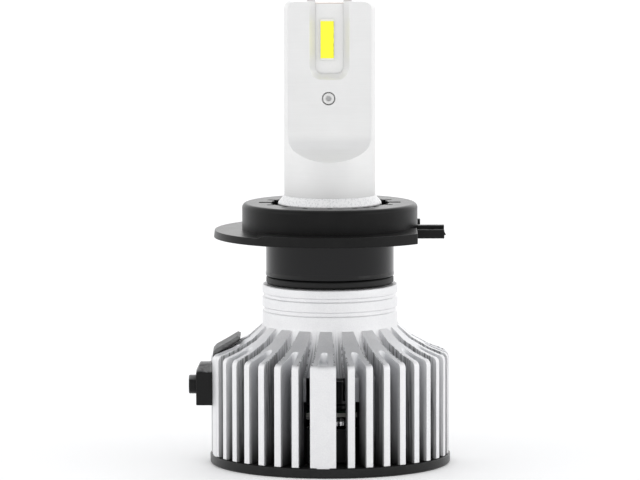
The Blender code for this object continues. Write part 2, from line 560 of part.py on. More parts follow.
def u_outline(depth):
    """The pocket's U at a depth under the flat, open past the top of the post."""
    share = depth / (FLAT_Y - FLOOR_Y)
    half = POCKET_HALF + (FLOOR_HALF - POCKET_HALF) * share
    bottom = POCKET_BOTTOM + (FLOOR_BOTTOM - POCKET_BOTTOM) * share
    corner = POCKET_CORNER + (FLOOR_CORNER - POCKET_CORNER) * share
    left = arc(-half + corner, bottom + corner, corner, 180, 270)
    right = arc(half - corner, bottom + corner, corner, 270, 360)
    return [(-half, POST_TOP_Z + 1), *left, *right, (half, POST_TOP_Z + 1)]


def pocket_cutter():
    """A loft between the pocket's wide mouth and its floor."""
    bm = bmesh.new()
    loops = []
    for depth in (-0.3, FLAT_Y - FLOOR_Y + 0.05):
        verts = [bm.verts.new((x, -FLAT_Y + depth, z)) for x, z in u_outline(depth)]
        bm.faces.new(verts)
        loops += [bm.edges.get((verts[i - 1], verts[i])) for i in range(len(verts))]
    bmesh.ops.bridge_loops(bm, edges=loops)
    bmesh.ops.recalc_face_normals(bm, faces=bm.faces)
    return bm


def scoop_cutter():
    """The flat's cutter, whose foot is a slope with a round root. It is drawn along Y and turned to X."""
    reach = POST_R + 2
    outline = [(-FLAT_Y, POST_TOP_Z + 1), *arc(-FLAT_Y - SCOOP_R, SCOOP_Z, SCOOP_R, 0, SCOOP_ARC, 8)]
    root, foot = outline[-1]
    foot += (root + reach + 1) / math.tan(math.radians(SCOOP_ARC))
    outline += [(-reach - 1, foot), (-reach - 1, POST_TOP_Z + 1)]
    bm = prism(outline, -reach, reach)
    bmesh.ops.rotate(bm, verts=bm.verts, matrix=Matrix.Rotation(math.pi / 2, 3, "Z"))
    return bm


def make_post_half(name, angle):
    corner = arc(POST_R - POST_CORNER, POST_TOP_Z - POST_CORNER, POST_CORNER, 90, 0)
    profile = [(0, POST_TOP_Z), *corner, (POST_R, POST_BOTTOM), (TENON_R, POST_BOTTOM),
               (TENON_R, TENON_BOTTOM), (0, TENON_BOTTOM)]
    half = turned(name, profile, "machined_aluminium", steps=STEPS_WIDE, rotation=(0, 0, angle))
    turn = {"rotation": (0, 0, angle)}
    reach, high, low = POST_R + 2, POST_TOP_Z + 2, TENON_BOTTOM - 2
    boolean(half, mesh_piece(name + "_split", block((-reach, -GAP / 2, low), (reach, reach, high)), **turn))
    boolean(half, mesh_piece(name + "_scoop", scoop_cutter(), **turn))
    recess = block((-RECESS_HALF, -FLOOR_Y, low), (RECESS_HALF, 1, high))
    boolean(half, mesh_piece(name + "_recess", recess, **turn))
    boolean(half, mesh_piece(name + "_pocket", pocket_cutter(), **turn))
    return half


def across(name, radius, first, last, steps=STEPS_TINY):
    """A cutter along Y at the post screw's place."""
    return mesh_piece(name, rod(radius, first, last, steps=steps), rotation=(-math.pi / 2, 0, 0),
                      location=(POST_SCREW_X, 0, POST_SCREW_Z))


def make_post():
    front = make_post_half("post_front", 0)
    rear = make_post_half("post_rear", math.pi)
    reach = FLAT_Y + 1
    boolean(front, across("screw_sink", POST_SCREW_BORE, -reach, -FLAT_Y + POST_SCREW_SINK))
    hole = across("screw_hole", POST_SCREW_R + GAP, -reach, FLAT_Y - 0.4)
    blade = mesh_piece("heat_spreader", block((-BLADE_HALF, -BLADE_Y, BLADE_BOTTOM),
                                              (BLADE_HALF, BLADE_Y, BLADE_TOP)), "copper")
    for piece in (front, rear, blade):
        boolean(piece, hole)
    for name, side in (("front", -1), ("rear", 1)):
        near = BLADE_Y + GAP / 2
        ends = sorted((side * near, side * (near + LED_BOARD_THICK)))
        bm = block((-BLADE_HALF, ends[0], BLADE_BOTTOM), (BLADE_HALF, ends[1], BLADE_TOP))
        board = mesh_piece(f"led_board_{name}", bm, "board_white")
        boolean(board, hole)
        top = near + LED_BOARD_THICK + GAP / 4
        ends = sorted((side * top, side * (top + LED_THICK)))
        x = -side * LED_X
        bm = block((x - LED_HALF_X, ends[0], LED_LOW), (x + LED_HALF_X, ends[1], LED_HIGH))
        mesh_piece(f"led_strip_{name}", bm, "phosphor")
    head = -FLAT_Y + POST_SCREW_SINK - GAP / 2
    tip = FLAT_Y - 0.4 - GAP
    face = -FLAT_Y + 0.1
    profile = [(0, tip), (POST_SCREW_R, tip), (POST_SCREW_R, head), (POST_SCREW_HEAD, head),
               (POST_SCREW_HEAD, face + 0.1), (POST_SCREW_HEAD - 0.1, face), (0, face)]
    screw = turned("post_screw", profile, "steel", steps=STEPS_TINY, rotation=(-math.pi / 2, 0, 0),
                   location=(POST_SCREW_X, 0, POST_SCREW_Z))
    boolean(screw, across("screw_key", POST_SCREW_KEY, -reach, face + 0.25, steps=HEX))


# --- adaptor --------------------------------------------------------------------------------

def make_seal_ring(axis):
    edge = 0.25
    profile = [(RING_IN, RING_TOP), (RING_R - edge, RING_TOP), (RING_R, RING_TOP - edge),
               (RING_R, RING_BOTTOM + edge), (RING_R - edge, RING_BOTTOM), (RING_IN, RING_BOTTOM)]
    turned("o_ring", profile, "seal_rubber", parent=axis)


def make_neck(axis):
    profile = [(NECK_BORE, NECK_TOP), (NECK_R, NECK_TOP), (NECK_R, NECK_BOTTOM + 0.12),
               (NECK_R - 0.12, NECK_BOTTOM), (NECK_BORE, NECK_BOTTOM)]
    neck = turned("adaptor_neck", profile, "gloss_black", parent=axis)
    first, last = LUG_HEADING - CHANNEL_HALF, LUG_HEADING + CHANNEL_HALF
    thirds = [TURN * i / LUGS for i in range(LUGS)]
    inner = NECK_BORE - 0.4
    channel = sector(inner, CHANNEL_R, NECK_BOTTOM - 1, LUG_TOP + 0.2, first, last, 5)
    boolean(neck, mesh_piece("channel_cutters", copies(channel, thirds)))
    # the neck turns forwards over the lugs, so the lock's track runs back from the channel
    track = sector(inner, CHANNEL_R - 0.02, LUG_BOTTOM - 0.2, LUG_TOP + 0.15, first - LOCK_TURN,
                   first + 3, 6)
    boolean(neck, mesh_piece("track_cutters", copies(track, thirds)))


def make_adaptor_body(axis):
    edge = 0.15
    rim = FLANGE_R - FLANGE_DRAFT
    profile = [(FLANGE_BORE, FLANGE_TOP), (rim - edge, FLANGE_TOP), (rim, FLANGE_TOP - edge),
               (FLANGE_R, FLANGE_BOTTOM + edge), (FLANGE_R - edge, FLANGE_BOTTOM),
               (FLANGE_BORE, FLANGE_BOTTOM)]
    body = turned("adaptor_body", profile, "black_plastic", steps=STEPS_WIDE, parent=axis)
    reach = FLANGE_R + 2
    flat = block((FLANGE_FLAT_X, -reach, FLANGE_BOTTOM - 1), (reach, reach, FLANGE_TOP + 1))
    boolean(body, mesh_piece("flange_flat", flat))
    step = FLANGE_TOP + 0.05
    lobe = prism([(-reach, LOBE_TOP), (LOBE_X, LOBE_TOP), (LOBE_X + LOBE_RAMP, step),
                  (LOBE_X + LOBE_RAMP, FLANGE_TOP + 1), (-reach, FLANGE_TOP + 1)], -reach, reach)
    boolean(body, mesh_piece("flange_lobe", lobe))
    corner = arc(DISC_R - DISC_CORNER, DISC_TOP - DISC_CORNER, DISC_CORNER, 90, 0, 3)
    disc = [(DISC_HOLE, DISC_TOP), *corner, (DISC_R, FLANGE_BOTTOM + 0.4), (DISC_BORE, FLANGE_BOTTOM + 0.4),
            (DISC_BORE, DISC_WALL_Z), (DISC_HOLE, DISC_WALL_Z)]
    boolean(body, turned("adaptor_disc", disc, steps=STEPS_WIDE), "UNION")
    inner = DISC_HOLE - 0.6
    narrow = [i for i in range(SLITS) if i not in SLITS_WIDE]
    for label, (width, end), turns in (("narrow", SLIT, narrow), ("wide", SLIT_WIDE, SLITS_WIDE)):
        slit = block((inner, -width / 2, DISC_WALL_Z - 0.2), (end, width / 2, DISC_TOP + 1))
        copies(slit, [TURN * i / SLITS for i in turns])
        boolean(body, mesh_piece(f"slit_cutters_{label}", slit))
    notch = block((inner, -NOTCH_WIDTH / 2, DISC_WALL_Z - 0.2),
                  (SLIT[1] - 0.3, NOTCH_WIDTH / 2, DISC_TOP + 1))
    boolean(body, mesh_piece("disc_notch", notch, rotation=(0, 0, heading(NOTCH_HEADING))))
    low = FLANGE_BOTTOM + 0.02
    tab = block((FLANGE_FLAT_X - 1.5, -TAB_HALF, low), (TAB_END, TAB_HALF, TAB_TOP))
    boolean(body, mesh_piece("tab_plate", tab), "UNION")
    rib = [(DISC_R - 0.6, low + 0.3), (TIP_END, low + 0.3), (TAB_END, low + 0.9), (TAB_END, RIB_TOP),
           (DISC_R - 0.6, RIB_TOP)]
    boolean(body, mesh_piece("tab_rib", prism(rib, RIB_NEAR, RIB_FAR)), "UNION")
    boolean(body, mesh_piece("tab_bump", block(*BUMP)), "UNION")
    return body


def make_adaptor():
    axis = joint_empty("adaptor_axis", NECK_BOTTOM)
    make_seal_ring(axis)
    make_neck(axis)
    make_adaptor_body(axis)


make_base_cover()
make_cover_screws()
make_heat_sink()
make_fan_frame()
make_fan_stator()
make_fan_rotor()
make_driver()
make_led_wires()
make_inlet()
make_lead_clip()
make_hub()
make_post()
make_adaptor()
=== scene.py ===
import math

import bmesh
import bpy
from mathutils import Matrix, Vector


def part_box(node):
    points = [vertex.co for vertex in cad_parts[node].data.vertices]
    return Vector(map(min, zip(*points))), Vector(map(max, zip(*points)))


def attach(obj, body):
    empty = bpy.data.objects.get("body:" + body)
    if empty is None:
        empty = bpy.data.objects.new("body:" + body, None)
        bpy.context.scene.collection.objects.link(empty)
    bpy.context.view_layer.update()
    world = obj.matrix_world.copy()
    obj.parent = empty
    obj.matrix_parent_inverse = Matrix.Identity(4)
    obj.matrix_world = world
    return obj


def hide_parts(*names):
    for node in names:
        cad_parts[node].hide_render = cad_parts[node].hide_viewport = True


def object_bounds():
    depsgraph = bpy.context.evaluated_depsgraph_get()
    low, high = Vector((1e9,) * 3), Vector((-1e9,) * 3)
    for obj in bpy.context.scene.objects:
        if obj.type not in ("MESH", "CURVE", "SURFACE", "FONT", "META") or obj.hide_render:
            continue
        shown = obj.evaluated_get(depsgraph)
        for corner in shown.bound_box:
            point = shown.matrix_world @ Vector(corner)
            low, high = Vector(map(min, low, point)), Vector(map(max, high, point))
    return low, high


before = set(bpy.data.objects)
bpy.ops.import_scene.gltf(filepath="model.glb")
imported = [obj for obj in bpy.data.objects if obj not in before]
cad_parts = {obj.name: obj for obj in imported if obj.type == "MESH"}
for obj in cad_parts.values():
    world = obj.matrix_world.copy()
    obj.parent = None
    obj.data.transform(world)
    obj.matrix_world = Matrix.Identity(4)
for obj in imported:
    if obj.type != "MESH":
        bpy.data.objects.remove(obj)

# Sizes in the tables below are in millimetres and the axis of the lamp is Z.
# A heading is an angle in degrees about that axis: 0 is the front (-Y) and 90 the tab's side (+X).

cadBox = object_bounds()
mm = 0.001
fullTurn = 2 * math.pi
print("frame loaded:", len(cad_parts), "nodes")


def boxOf(node):
    low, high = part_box(node)
    return low / mm, high / mm


# small tools for outlines and angles

def headingTurn(degrees):
    return math.radians(degrees - 90)


def polar(radius, angle):
    return Vector((radius * math.cos(angle), radius * math.sin(angle)))


def onHeading(degrees, radius):
    return polar(radius, headingTurn(degrees)).to_3d()


def turnZ(angle):
    return Matrix.Rotation(angle, 4, "Z")


def shares(count):
    return [turnZ(fullTurn * i / count) for i in range(count)]


def filleted(outline, steps=4, closed=True):
    # a corner written (x, z, radius) becomes a round one
    points = []
    for i, corner in enumerate(outline):
        here = Vector(corner[:2])
        inside = closed or 0 < i < len(outline) - 1
        if len(corner) < 3 or not inside:
            points.append(here)
            continue
        before = (Vector(outline[i - 1][:2]) - here).normalized()
        after = (Vector(outline[(i + 1) % len(outline)][:2]) - here).normalized()
        half = before.angle(after) / 2
        reach = corner[2] / math.tan(half)
        centre = here + (before + after).normalized() * corner[2] / math.sin(half)
        first, last = here + before * reach - centre, here + after * reach - centre
        for step in range(steps + 1):
            way = first.lerp(last, step / steps).normalized()
            points.append(centre + way * corner[2])
    return points


# small tools for meshes, all in millimetres until a piece is finished

def meshOf(bm):
    mesh = bpy.data.meshes.new("work")
    bm.to_mesh(mesh)
    bm.free()
    return mesh


def repeated(bm, turns):
    source = meshOf(bm)
    whole = bmesh.new()
    for turn in turns:
        one = bmesh.new()
        one.from_mesh(source)
        one.transform(turn)
        mesh = meshOf(one)
        whole.from_mesh(mesh)
        bpy.data.meshes.remove(mesh)
    bpy.data.meshes.remove(source)
    return whole


def spun(profile, steps=144, rounding=4):
    # the profile of corners (radius, height) is a closed loop, or starts and ends on the axis
    bm = bmesh.new()
    onAxis = profile[0][0] == 0
    points = filleted(profile, rounding, closed=not onAxis)
    verts = [bm.verts.new((point.x, 0, point.y)) for point in points]
    pairs = list(zip(verts, verts[1:])) + ([] if onAxis else [(verts[-1], verts[0])])
    edges = [bm.edges.new(pair) for pair in pairs]
    bmesh.ops.spin(bm, geom=verts + edges, cent=(0, 0, 0), axis=(0, 0, 1), angle=fullTurn,
                   steps=steps, use_merge=True)
    bmesh.ops.remove_doubles(bm, verts=bm.verts, dist=1e-4)
    bmesh.ops.recalc_face_normals(bm, faces=bm.faces)
    return bm


def rod(radius, low, high, steps=48):
    bm = bmesh.new()
    bmesh.ops.create_cone(bm, cap_ends=True, segments=steps, radius1=radius, radius2=radius,
                          depth=high - low, matrix=Matrix.Translation((0, 0, (low + high) / 2)))
    return bm


def block(low, high):
    bm = bmesh.new()
    low, high = Vector(low), Vector(high)
    place = Matrix.Translation((low + high) / 2) @ Matrix.Diagonal((*(high - low), 1))
    bmesh.ops.create_cube(bm, size=1, matrix=place)
    return bm


def drawn(outline, low, high):
    # a flat outline in plan, drawn up from one height to another
    bm = bmesh.new()
    face = bm.faces.new([bm.verts.new((point[0], point[1], low)) for point in outline])
    lifted = bmesh.ops.extrude_face_region(bm, geom=[face])["geom"]
    top = [item for item in lifted if isinstance(item, bmesh.types.BMVert)]
    bmesh.ops.translate(bm, verts=top, vec=(0, 0, high - low))
    bmesh.ops.recalc_face_normals(bm, faces=bm.faces)
    return bm


def alongY(outline, first, last):
    # an outline (x, z) drawn along Y
    bm = drawn(outline, -last, -first)
    bm.transform(Matrix.Rotation(math.pi / 2, 4, "X"))
    return bm


def alongX(outline, first, last):
    # an outline (y, z) drawn along X
    bm = alongY(outline, -last, -first)
    bm.transform(turnZ(math.pi / 2))
    return bm


def sector(inner, outer, low, high, first, last, steps=8):
    bm = bmesh.new()
    corners = ((inner, low), (outer, low), (outer, high), (inner, high))
    verts = [bm.verts.new((r, 0, z)) for r, z in corners]
    edges = [bm.edges.new((verts[i - 1], verts[i])) for i in range(4)]
    bmesh.ops.rotate(bm, verts=verts, matrix=Matrix.Rotation(headingTurn(first), 3, "Z"))
    bmesh.ops.spin(bm, geom=verts + edges, cent=(0, 0, 0), axis=(0, 0, 1),
                   angle=math.radians(last - first), steps=steps, use_merge=False)
    bmesh.ops.holes_fill(bm, edges=[edge for edge in bm.edges if edge.is_boundary])
    bmesh.ops.recalc_face_normals(bm, faces=bm.faces)
    return bm


def combined(bm, other, operation="DIFFERENCE"):
    # one exact boolean between two closed shapes
    pair = [bpy.data.objects.new("work", meshOf(shape)) for shape in (bm, other)]
    for item in pair:
        bpy.context.scene.collection.objects.link(item)
    modifier = pair[0].modifiers.new("cut", "BOOLEAN")
    modifier.operation = operation
    modifier.solver = "EXACT"
    modifier.object = pair[1]
    bpy.context.view_layer.update()
    evaluated = pair[0].evaluated_get(bpy.context.evaluated_depsgraph_get())
    result = bmesh.new()
    result.from_mesh(evaluated.to_mesh())
    for item in pair:
        mesh = item.data
        bpy.data.objects.remove(item)
        bpy.data.meshes.remove(mesh)
    bmesh.ops.remove_doubles(result, verts=result.verts, dist=1e-3)
    bmesh.ops.dissolve_degenerate(result, edges=result.edges, dist=1e-3)
    return result


def softened(bm, width, segments=2, angle=32, where=None):
    # rounds the outward edges that are sharper than an angle
    bmesh.ops.dissolve_limit(bm, angle_limit=math.radians(0.6), verts=bm.verts, edges=bm.edges)
    limit = math.radians(angle)
    sharp = [edge for edge in bm.edges if len(edge.link_faces) == 2
             and edge.calc_face_angle_signed() > limit and (where is None or where(edge))]
    bmesh.ops.bevel(bm, geom=sharp, affect="EDGES", offset=width, offset_type="OFFSET",
                    segments=segments, profile=0.5, material=-1, clamp_overlap=True)
    return bm


def finished(bm, name, body, look, replaced=(), smooth=38):
    bmesh.ops.scale(bm, vec=(mm, mm, mm), verts=bm.verts)
    mesh = bpy.data.meshes.new(name)
    bm.to_mesh(mesh)
    bm.free()
    mesh.shade_smooth()
    mesh.set_sharp_from_angle(angle=math.radians(smooth))
    piece = bpy.data.objects.new(name, mesh)
    bpy.context.scene.collection.objects.link(piece)
    mesh.materials.append(look)
    normals = piece.modifiers.new("normals", "WEIGHTED_NORMAL")
    normals.keep_sharp = True
    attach(piece, body)
    if replaced:
        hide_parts(*replaced)


def refined(node, width):
    # a merged copy of a CAD node with its edges rounded
    bm = bmesh.new()
    bm.from_mesh(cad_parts[node].data)
    bmesh.ops.scale(bm, vec=(1 / mm,) * 3, verts=bm.verts)
    bmesh.ops.remove_doubles(bm, verts=bm.verts, dist=2e-3)
    return softened(bm, width)


# shader maths: a socket that takes the usual operators

class Wire:
    def __init__(self, look, socket):
        self.look, self.socket = look, socket

    def maths(self, operation, first, second=0.0):
        return self.look.node("ShaderNodeMath", {"operation": operation}, {0: first, 1: second})

    def __add__(self, other):
        return self.maths("ADD", self, other)

    def __radd__(self, other):
        return self.maths("ADD", other, self)

    def __sub__(self, other):
        return self.maths("SUBTRACT", self, other)

    def __rsub__(self, other):
        return self.maths("SUBTRACT", other, self)

    def __mul__(self, other):
        return self.maths("MULTIPLY", self, other)

    def __rmul__(self, other):
        return self.maths("MULTIPLY", other, self)

    def __truediv__(self, other):
        return self.maths("DIVIDE", self, other)

    def __pow__(self, other):
        return self.maths("POWER", self, other)


class Look:
    def __init__(self, name, **values):
        self.material = bpy.data.materials.new(name)
        self.material.use_nodes = True
        self.tree = self.material.node_tree
        self.shader = self.tree.nodes["Principled BSDF"]
        for socket, value in values.items():
            self.set(socket.replace("_", " "), value)
        self.place = self.node("ShaderNodeTexCoord", output="Object")

    def set(self, name, value):
        socket = self.shader.inputs[name]
        if isinstance(value, Wire):
            self.tree.links.new(value.socket, socket)
        else:
            socket.default_value = (*value, 1) if isinstance(value, tuple) else value

    def node(self, kind, settings=None, inputs=None, output=0):
        node = self.tree.nodes.new(kind)
        for key, value in (settings or {}).items():
            if key == "stops":
                ramp = node.color_ramp
                while len(ramp.elements) < len(value):
                    ramp.elements.new(1.0)
                for element, (position, level) in zip(ramp.elements, value):
                    element.position = position
                    element.color = (level, level, level, 1) if isinstance(level, float) else (*level, 1)
            else:
                setattr(node, key, value)
        for key, value in (inputs or {}).items():
            socket = node.inputs[key]
            if isinstance(value, Wire):
                self.tree.links.new(value.socket, socket)
            else:
                socket.default_value = value
        return Wire(self, node.outputs[output])

    # noise between 0 and 1 whose grains are about a size in millimetres
    def noise(self, grain, detail=2.0, rough=0.55, vector=None):
        return self.node("ShaderNodeTexNoise", None,
                         {"Vector": vector or self.place, "Scale": 1 / (grain * mm),
                          "Detail": detail, "Roughness": rough})

    def cells(self, grain):
        return self.node("ShaderNodeTexVoronoi", None, {"Vector": self.place, "Scale": 1 / (grain * mm)})

    def stretched(self, x, y, z):
        return self.node("ShaderNodeMapping", None, {"Vector": self.place, "Scale": (x, y, z)})

    def ramp(self, factor, *stops):
        return self.node("ShaderNodeValToRGB", {"stops": stops}, {0: factor})

    def span(self, value, low, high, start=0.0, end=1.0):
        # carries a value's range onto another, clamped
        return self.node("ShaderNodeMapRange", {"interpolation_type": "SMOOTHSTEP"},
                         {0: value, 1: low, 2: high, 3: start, 4: end})

    def axes(self, unit=mm):
        split = self.node("ShaderNodeSeparateXYZ", None, {0: self.place})
        return [Wire(self, socket) / unit for socket in split.socket.node.outputs]

    def mixed(self, factor, first, second, blend="MIX"):
        # two colours, or one tinted by the other, by a factor
        first, second = [(*tone, 1) if isinstance(tone, tuple) else tone for tone in (first, second)]
        return self.node("ShaderNodeMix", {"data_type": "RGBA", "blend_type": blend},
                         {0: factor, 6: first, 7: second}, output=2)

    def tinted(self, factor, first, second):
        return self.mixed(factor, first, second, "MULTIPLY")

    def bumped(self, height, depth):
        # depth is in millimetres, for a height from 0 to 1
        self.set("Normal", self.node("ShaderNodeBump", None,
                                     {"Strength": 1.0, "Distance": depth * mm, "Height": height}))


class Sky(Look):
    # the light from all round, by direction
    def __init__(self, name):
        self.world = bpy.data.worlds.new(name)
        self.world.use_nodes = True
        self.tree = self.world.node_tree
        self.shader = self.tree.nodes["Background"]
        self.place = self.node("ShaderNodeTexCoord", output="Object")


# the finishes: a span is where one tone gives way to another, in millimetres from the axis or the foot

castFinish = {
    "face": (0.86, 0.86, 0.865), "faceSpan": (16.9, 17.45), "highSpan": (17.0, 21.0),
    # the tones by height on the next lines are painted shade on the fins' walls, darker towards their foot;
    # the outer faces and the top stay bright
    "wallShade": ((0.075, (0.09, 0.09, 0.091)), (0.16, (0.24, 0.242, 0.245)), (0.3, (0.46, 0.463, 0.47)),
              (0.6, (0.66, 0.665, 0.675)), (0.9, (0.83, 0.835, 0.845))), "wallShadeTop": 20.0,
    "slots": 20, "slotHeading": 5.5, "stripe": 0.3, "around": 0.014, "along": 4e-5,
    # the recess tone is painted shade, a grey tint low down between the fins near the core
    "recess": (0.42, 0.42, 0.43), "recessShadeSpan": (14.5, 16.4), "recessShadeTop": (13.0, 16.5),
    # the bay tone is painted shade: the casting's inside goes near black, as if unlit
    "bayShade": (0.010, 0.010, 0.011), "bayShadeSpan": (14.35, 14.5), "bayTop": (14.25, 14.4),
    "grain": 0.16, "cloud": 2.4,
}


def castMetal():
    size = castFinish
    look = Look("castAluminium", Metallic=0.8)
    x, y, z = look.axes()
    radius = (x * x + y * y) ** 0.5
    face = look.span(radius, *size["faceSpan"])
    high = look.span(z, *size["highSpan"])
    unshaded = face + high - face * high
    speck = look.noise(size["grain"], 3)
    cloud = look.noise(size["cloud"], 3)
    # the deep slots keep the upright marks of the die, which change with depth on their walls
    turn = y.maths("ARCTAN2", y, x)
    phase = math.radians(size["slots"] * (90 - size["slotHeading"]))
    wave = turn.maths("COSINE", turn * size["slots"] + phase)
    deep = look.span(wave, 0.12, 0.3) * (1 - unshaded)
    across = radius * look.span(wave, 0.6, 0.72, mm, 0.0)
    marks = look.noise(size["stripe"], 3, 0.6, look.node("ShaderNodeCombineXYZ", None, {
        0: turn * size["around"], 1: across, 2: z * size["along"]}))
    # painted shade: the fins' walls darken towards their foot by height, where the slots lie in shade; the
    # outer faces and everything above the shoulder keep the bright tone
    tone = look.mixed(unshaded, look.ramp(z / size["wallShadeTop"], *size["wallShade"]), size["face"])
    tone = look.tinted(deep, tone, look.ramp(marks, (0.40, 0.42), (0.54, 1.0)))
    # painted shade: a grey tint low down between the fins near the core, where the slots lie in shade
    recess = look.span(radius, *size["recessShadeSpan"], 1.0, 0.0) * look.span(z, *size["recessShadeTop"], 1.0, 0.0)
    tone = look.tinted(recess, tone, size["recess"])
    mottle = look.ramp(speck * 0.65 + cloud * 0.35, (0.3, (0.90, 0.90, 0.91)), (0.62, (1.0, 1.0, 1.0)))
    tone = look.tinted(1.0, tone, mottle)
    # painted shade: the inside of the bay, below its roof, goes near black as if no light reached it
    bayShade = look.span(radius, *size["bayShadeSpan"], 1.0, 0.0) * look.span(z, *size["bayTop"], 1.0, 0.0)
    look.set("Base Color", look.mixed(bayShade, tone, size["bayShade"]))
    look.set("Roughness", 0.42 + speck * 0.16 + cloud * 0.06)
    look.bumped(speck + cloud * 0.7 + marks * deep * 1.5, 0.02)
    return look.material


blastedFinish = {"low": (0.62, 0.625, 0.63), "high": (0.92, 0.92, 0.92), "sleeveShade": (0.012, 0.012, 0.012),
                 "sleeveShadeSpan": (38.5, 38.8), "grain": 0.13, "spots": 0.32}


def blastedMetal():
    # the hub: bare at its flared foot; below the foot its colour goes near black, painted shade for the dark
    # seen down the adaptor's slits
    size = blastedFinish
    look = Look("blastedAluminium", Metallic=0.75)
    speck = look.noise(size["grain"], 3, 0.7)
    spots = look.cells(size["spots"])
    bare = look.ramp(speck * 0.7 + spots * 0.3, (0.26, size["low"]), (0.52, size["high"]))
    # painted shade on the shaft below the foot
    sleeveShade = look.span(look.axes()[2], *size["sleeveShadeSpan"], 1.0, 0.0)
    look.set("Base Color", look.mixed(sleeveShade, bare, size["sleeveShade"]))
    look.set("Roughness", 0.5 + speck * 0.2)
    look.bumped(speck + spots * 0.5, 0.03)
    return look.material


def satinMetal():
    look = Look("satinAluminium", Metallic=0.6)
    speck = look.noise(0.09, 2)
    brushed = look.noise(1.0, 3, 0.6, look.stretched(0.25, 0.25, 7.0))
    cloud = look.noise(4.0, 2)
    look.set("Base Color", look.ramp(cloud * 0.6 + brushed * 0.4, (0.3, (0.79, 0.79, 0.785)),
                                     (0.7, (0.83, 0.83, 0.825))))
    look.set("Roughness", 0.42 + speck * 0.12)
    look.bumped(speck * 0.6 + brushed * 0.4, 0.008)
    return look.material


def blackNylon(name, low, high):
    look = Look(name, Specular_IOR_Level=0.17)
    grain = look.noise(0.11, 3, 0.65)
    cloud = look.noise(2.2, 3)
    look.set("Base Color", look.ramp(grain * 0.5 + cloud * 0.5, (0.3, low), (0.7, high)))
    look.set("Roughness", 0.22 + grain * 0.12 + cloud * 0.06)
    look.bumped(grain, 0.01)
    return look.material


def highlightedNylon(name, slope, start, end, tones, nose=None):
    # painted highlight: pale along its upper side, which may slope along X, and on the crown of a nose, where
    # a soft lamp would glint
    look = Look(name, Specular_IOR_Level=0.2)
    grain = look.noise(0.14, 3, 0.65)
    streak = look.noise(0.5, 3, 0.6, look.stretched(0.4, 1, 1))
    x, _, z = look.axes()
    # painted highlight along the upper side, where light falls from above
    paintedHighlight = look.span(z - x * slope + streak * 0.9, start, end)
    if nose is not None:
        reach, crown = nose
        # painted highlight on the crown of the nose
        tip = look.span(x, reach - 0.05, reach, 1.0, 0.0) * look.span(z + streak * 0.3, crown, crown + 0.5)
        paintedHighlight = paintedHighlight + tip - paintedHighlight * tip
    highlightTone = look.ramp(streak, (0.3, tones[0]), (0.7, tones[1]))
    look.set("Base Color", look.mixed(paintedHighlight, (0.006, 0.006, 0.006), highlightTone))
    look.set("Roughness", 0.26 + grain * 0.14 + paintedHighlight * 0.2)
    look.bumped(grain, 0.012)
    return look.material


def polishedBlack():
    look = Look("polishedBlack", Specular_IOR_Level=0.3)
    grain = look.noise(0.2, 2)
    dust = look.span(look.cells(0.9), 0.0, 0.07, 1.0, 0.0)
    look.set("Base Color", look.mixed(dust * 0.2, (0.003, 0.003, 0.0035), (0.10, 0.10, 0.10)))
    look.set("Roughness", 0.07 + grain * 0.06 + dust * 0.2)
    look.bumped(look.noise(1.6, 2), 0.012)
    return look.material


def darkPolymer(name, level, low, high, roughness, wander, depth):
    look = Look(name, Specular_IOR_Level=level)
    grain = look.noise(0.15, 3)
    look.set("Base Color", look.ramp(grain, (0.3, low), (0.7, high)))
    look.set("Roughness", roughness + grain * wander)
    look.bumped(grain, depth)
    return look.material


def plain(look, tone, roughness, grain, spread, wander, depth):
    # one tone with a little grain in its colour, gloss and surface
    speck = look.noise(grain, 3)
    darker = tuple(level * (1 - spread) for level in tone)
    look.set("Base Color", look.mixed(look.span(speck, 0.3, 0.7), darker, tone))
    look.set("Roughness", roughness + speck * wander)
    look.bumped(speck, depth)
    return look.material


def metal(name, tone, roughness, grain=0.12, spread=0.15):
    return plain(Look(name, Metallic=1.0), tone, roughness, grain, spread, 0.12, 0.006)


def dull(name, tone, roughness, grain=0.2, spread=0.25):
    return plain(Look(name, Specular_IOR_Level=0.4), tone, roughness, grain, spread, 0.15, 0.008)


def screwMetal():
    # bright, with painted shade darkening its middle about the key's recess
    look = Look("screwSteel", Metallic=1.0)
    speck = look.noise(0.12, 3)
    x, _, z = look.axes()
    side, rise = x - post["screwX"], z - post["screwZ"]
    keyShade = look.span((side * side + rise * rise) ** 0.5 + speck * 0.3, 0.35, 0.75, 1.0, 0.0)
    look.set("Base Color", look.mixed(keyShade, (0.74, 0.74, 0.73), (0.42, 0.42, 0.42)))
    look.set("Roughness", 0.24 + speck * 0.12)
    look.bumped(speck, 0.006)
    return look.material


def banded(name, below, above, height, roughness):
    # one colour and metalness below a height, another above it
    look = Look(name)
    speck = look.noise(0.12, 3)
    upper = look.span(look.axes()[2], height - 0.03, height + 0.03)
    tint = look.ramp(speck, (0.3, 0.84), (0.65, 1.0))
    look.set("Base Color", look.tinted(1.0, look.mixed(upper, below[0], above[0]), tint))
    look.set("Metallic", look.span(upper, 0.0, 1.0, below[1], above[1]))
    look.set("Roughness", roughness + speck * 0.12)
    look.bumped(speck, 0.006)
    return look.material


def maskedBoard():
    # dark solder mask over copper tracks, with bright glass edges
    look = Look("maskedBoard", Specular_IOR_Level=0.5, Roughness=0.35)
    tracks = look.node("ShaderNodeTexBrick", {"offset": 0.37, "squash": 1.4},
                       {"Vector": look.place, "Scale": 260.0, "Mortar Size": 0.012})
    grain = look.noise(0.3, 2)
    x, y, _ = look.axes()
    edge = look.span((x * x + y * y) ** 0.5, 12.75, 12.95)
    mask = look.mixed(tracks, (0.012, 0.055, 0.032), (0.020, 0.085, 0.050))
    look.set("Base Color", look.mixed(edge, mask, (0.20, 0.20, 0.18)))
    look.bumped(tracks + grain * 0.3, 0.03)
    return look.material


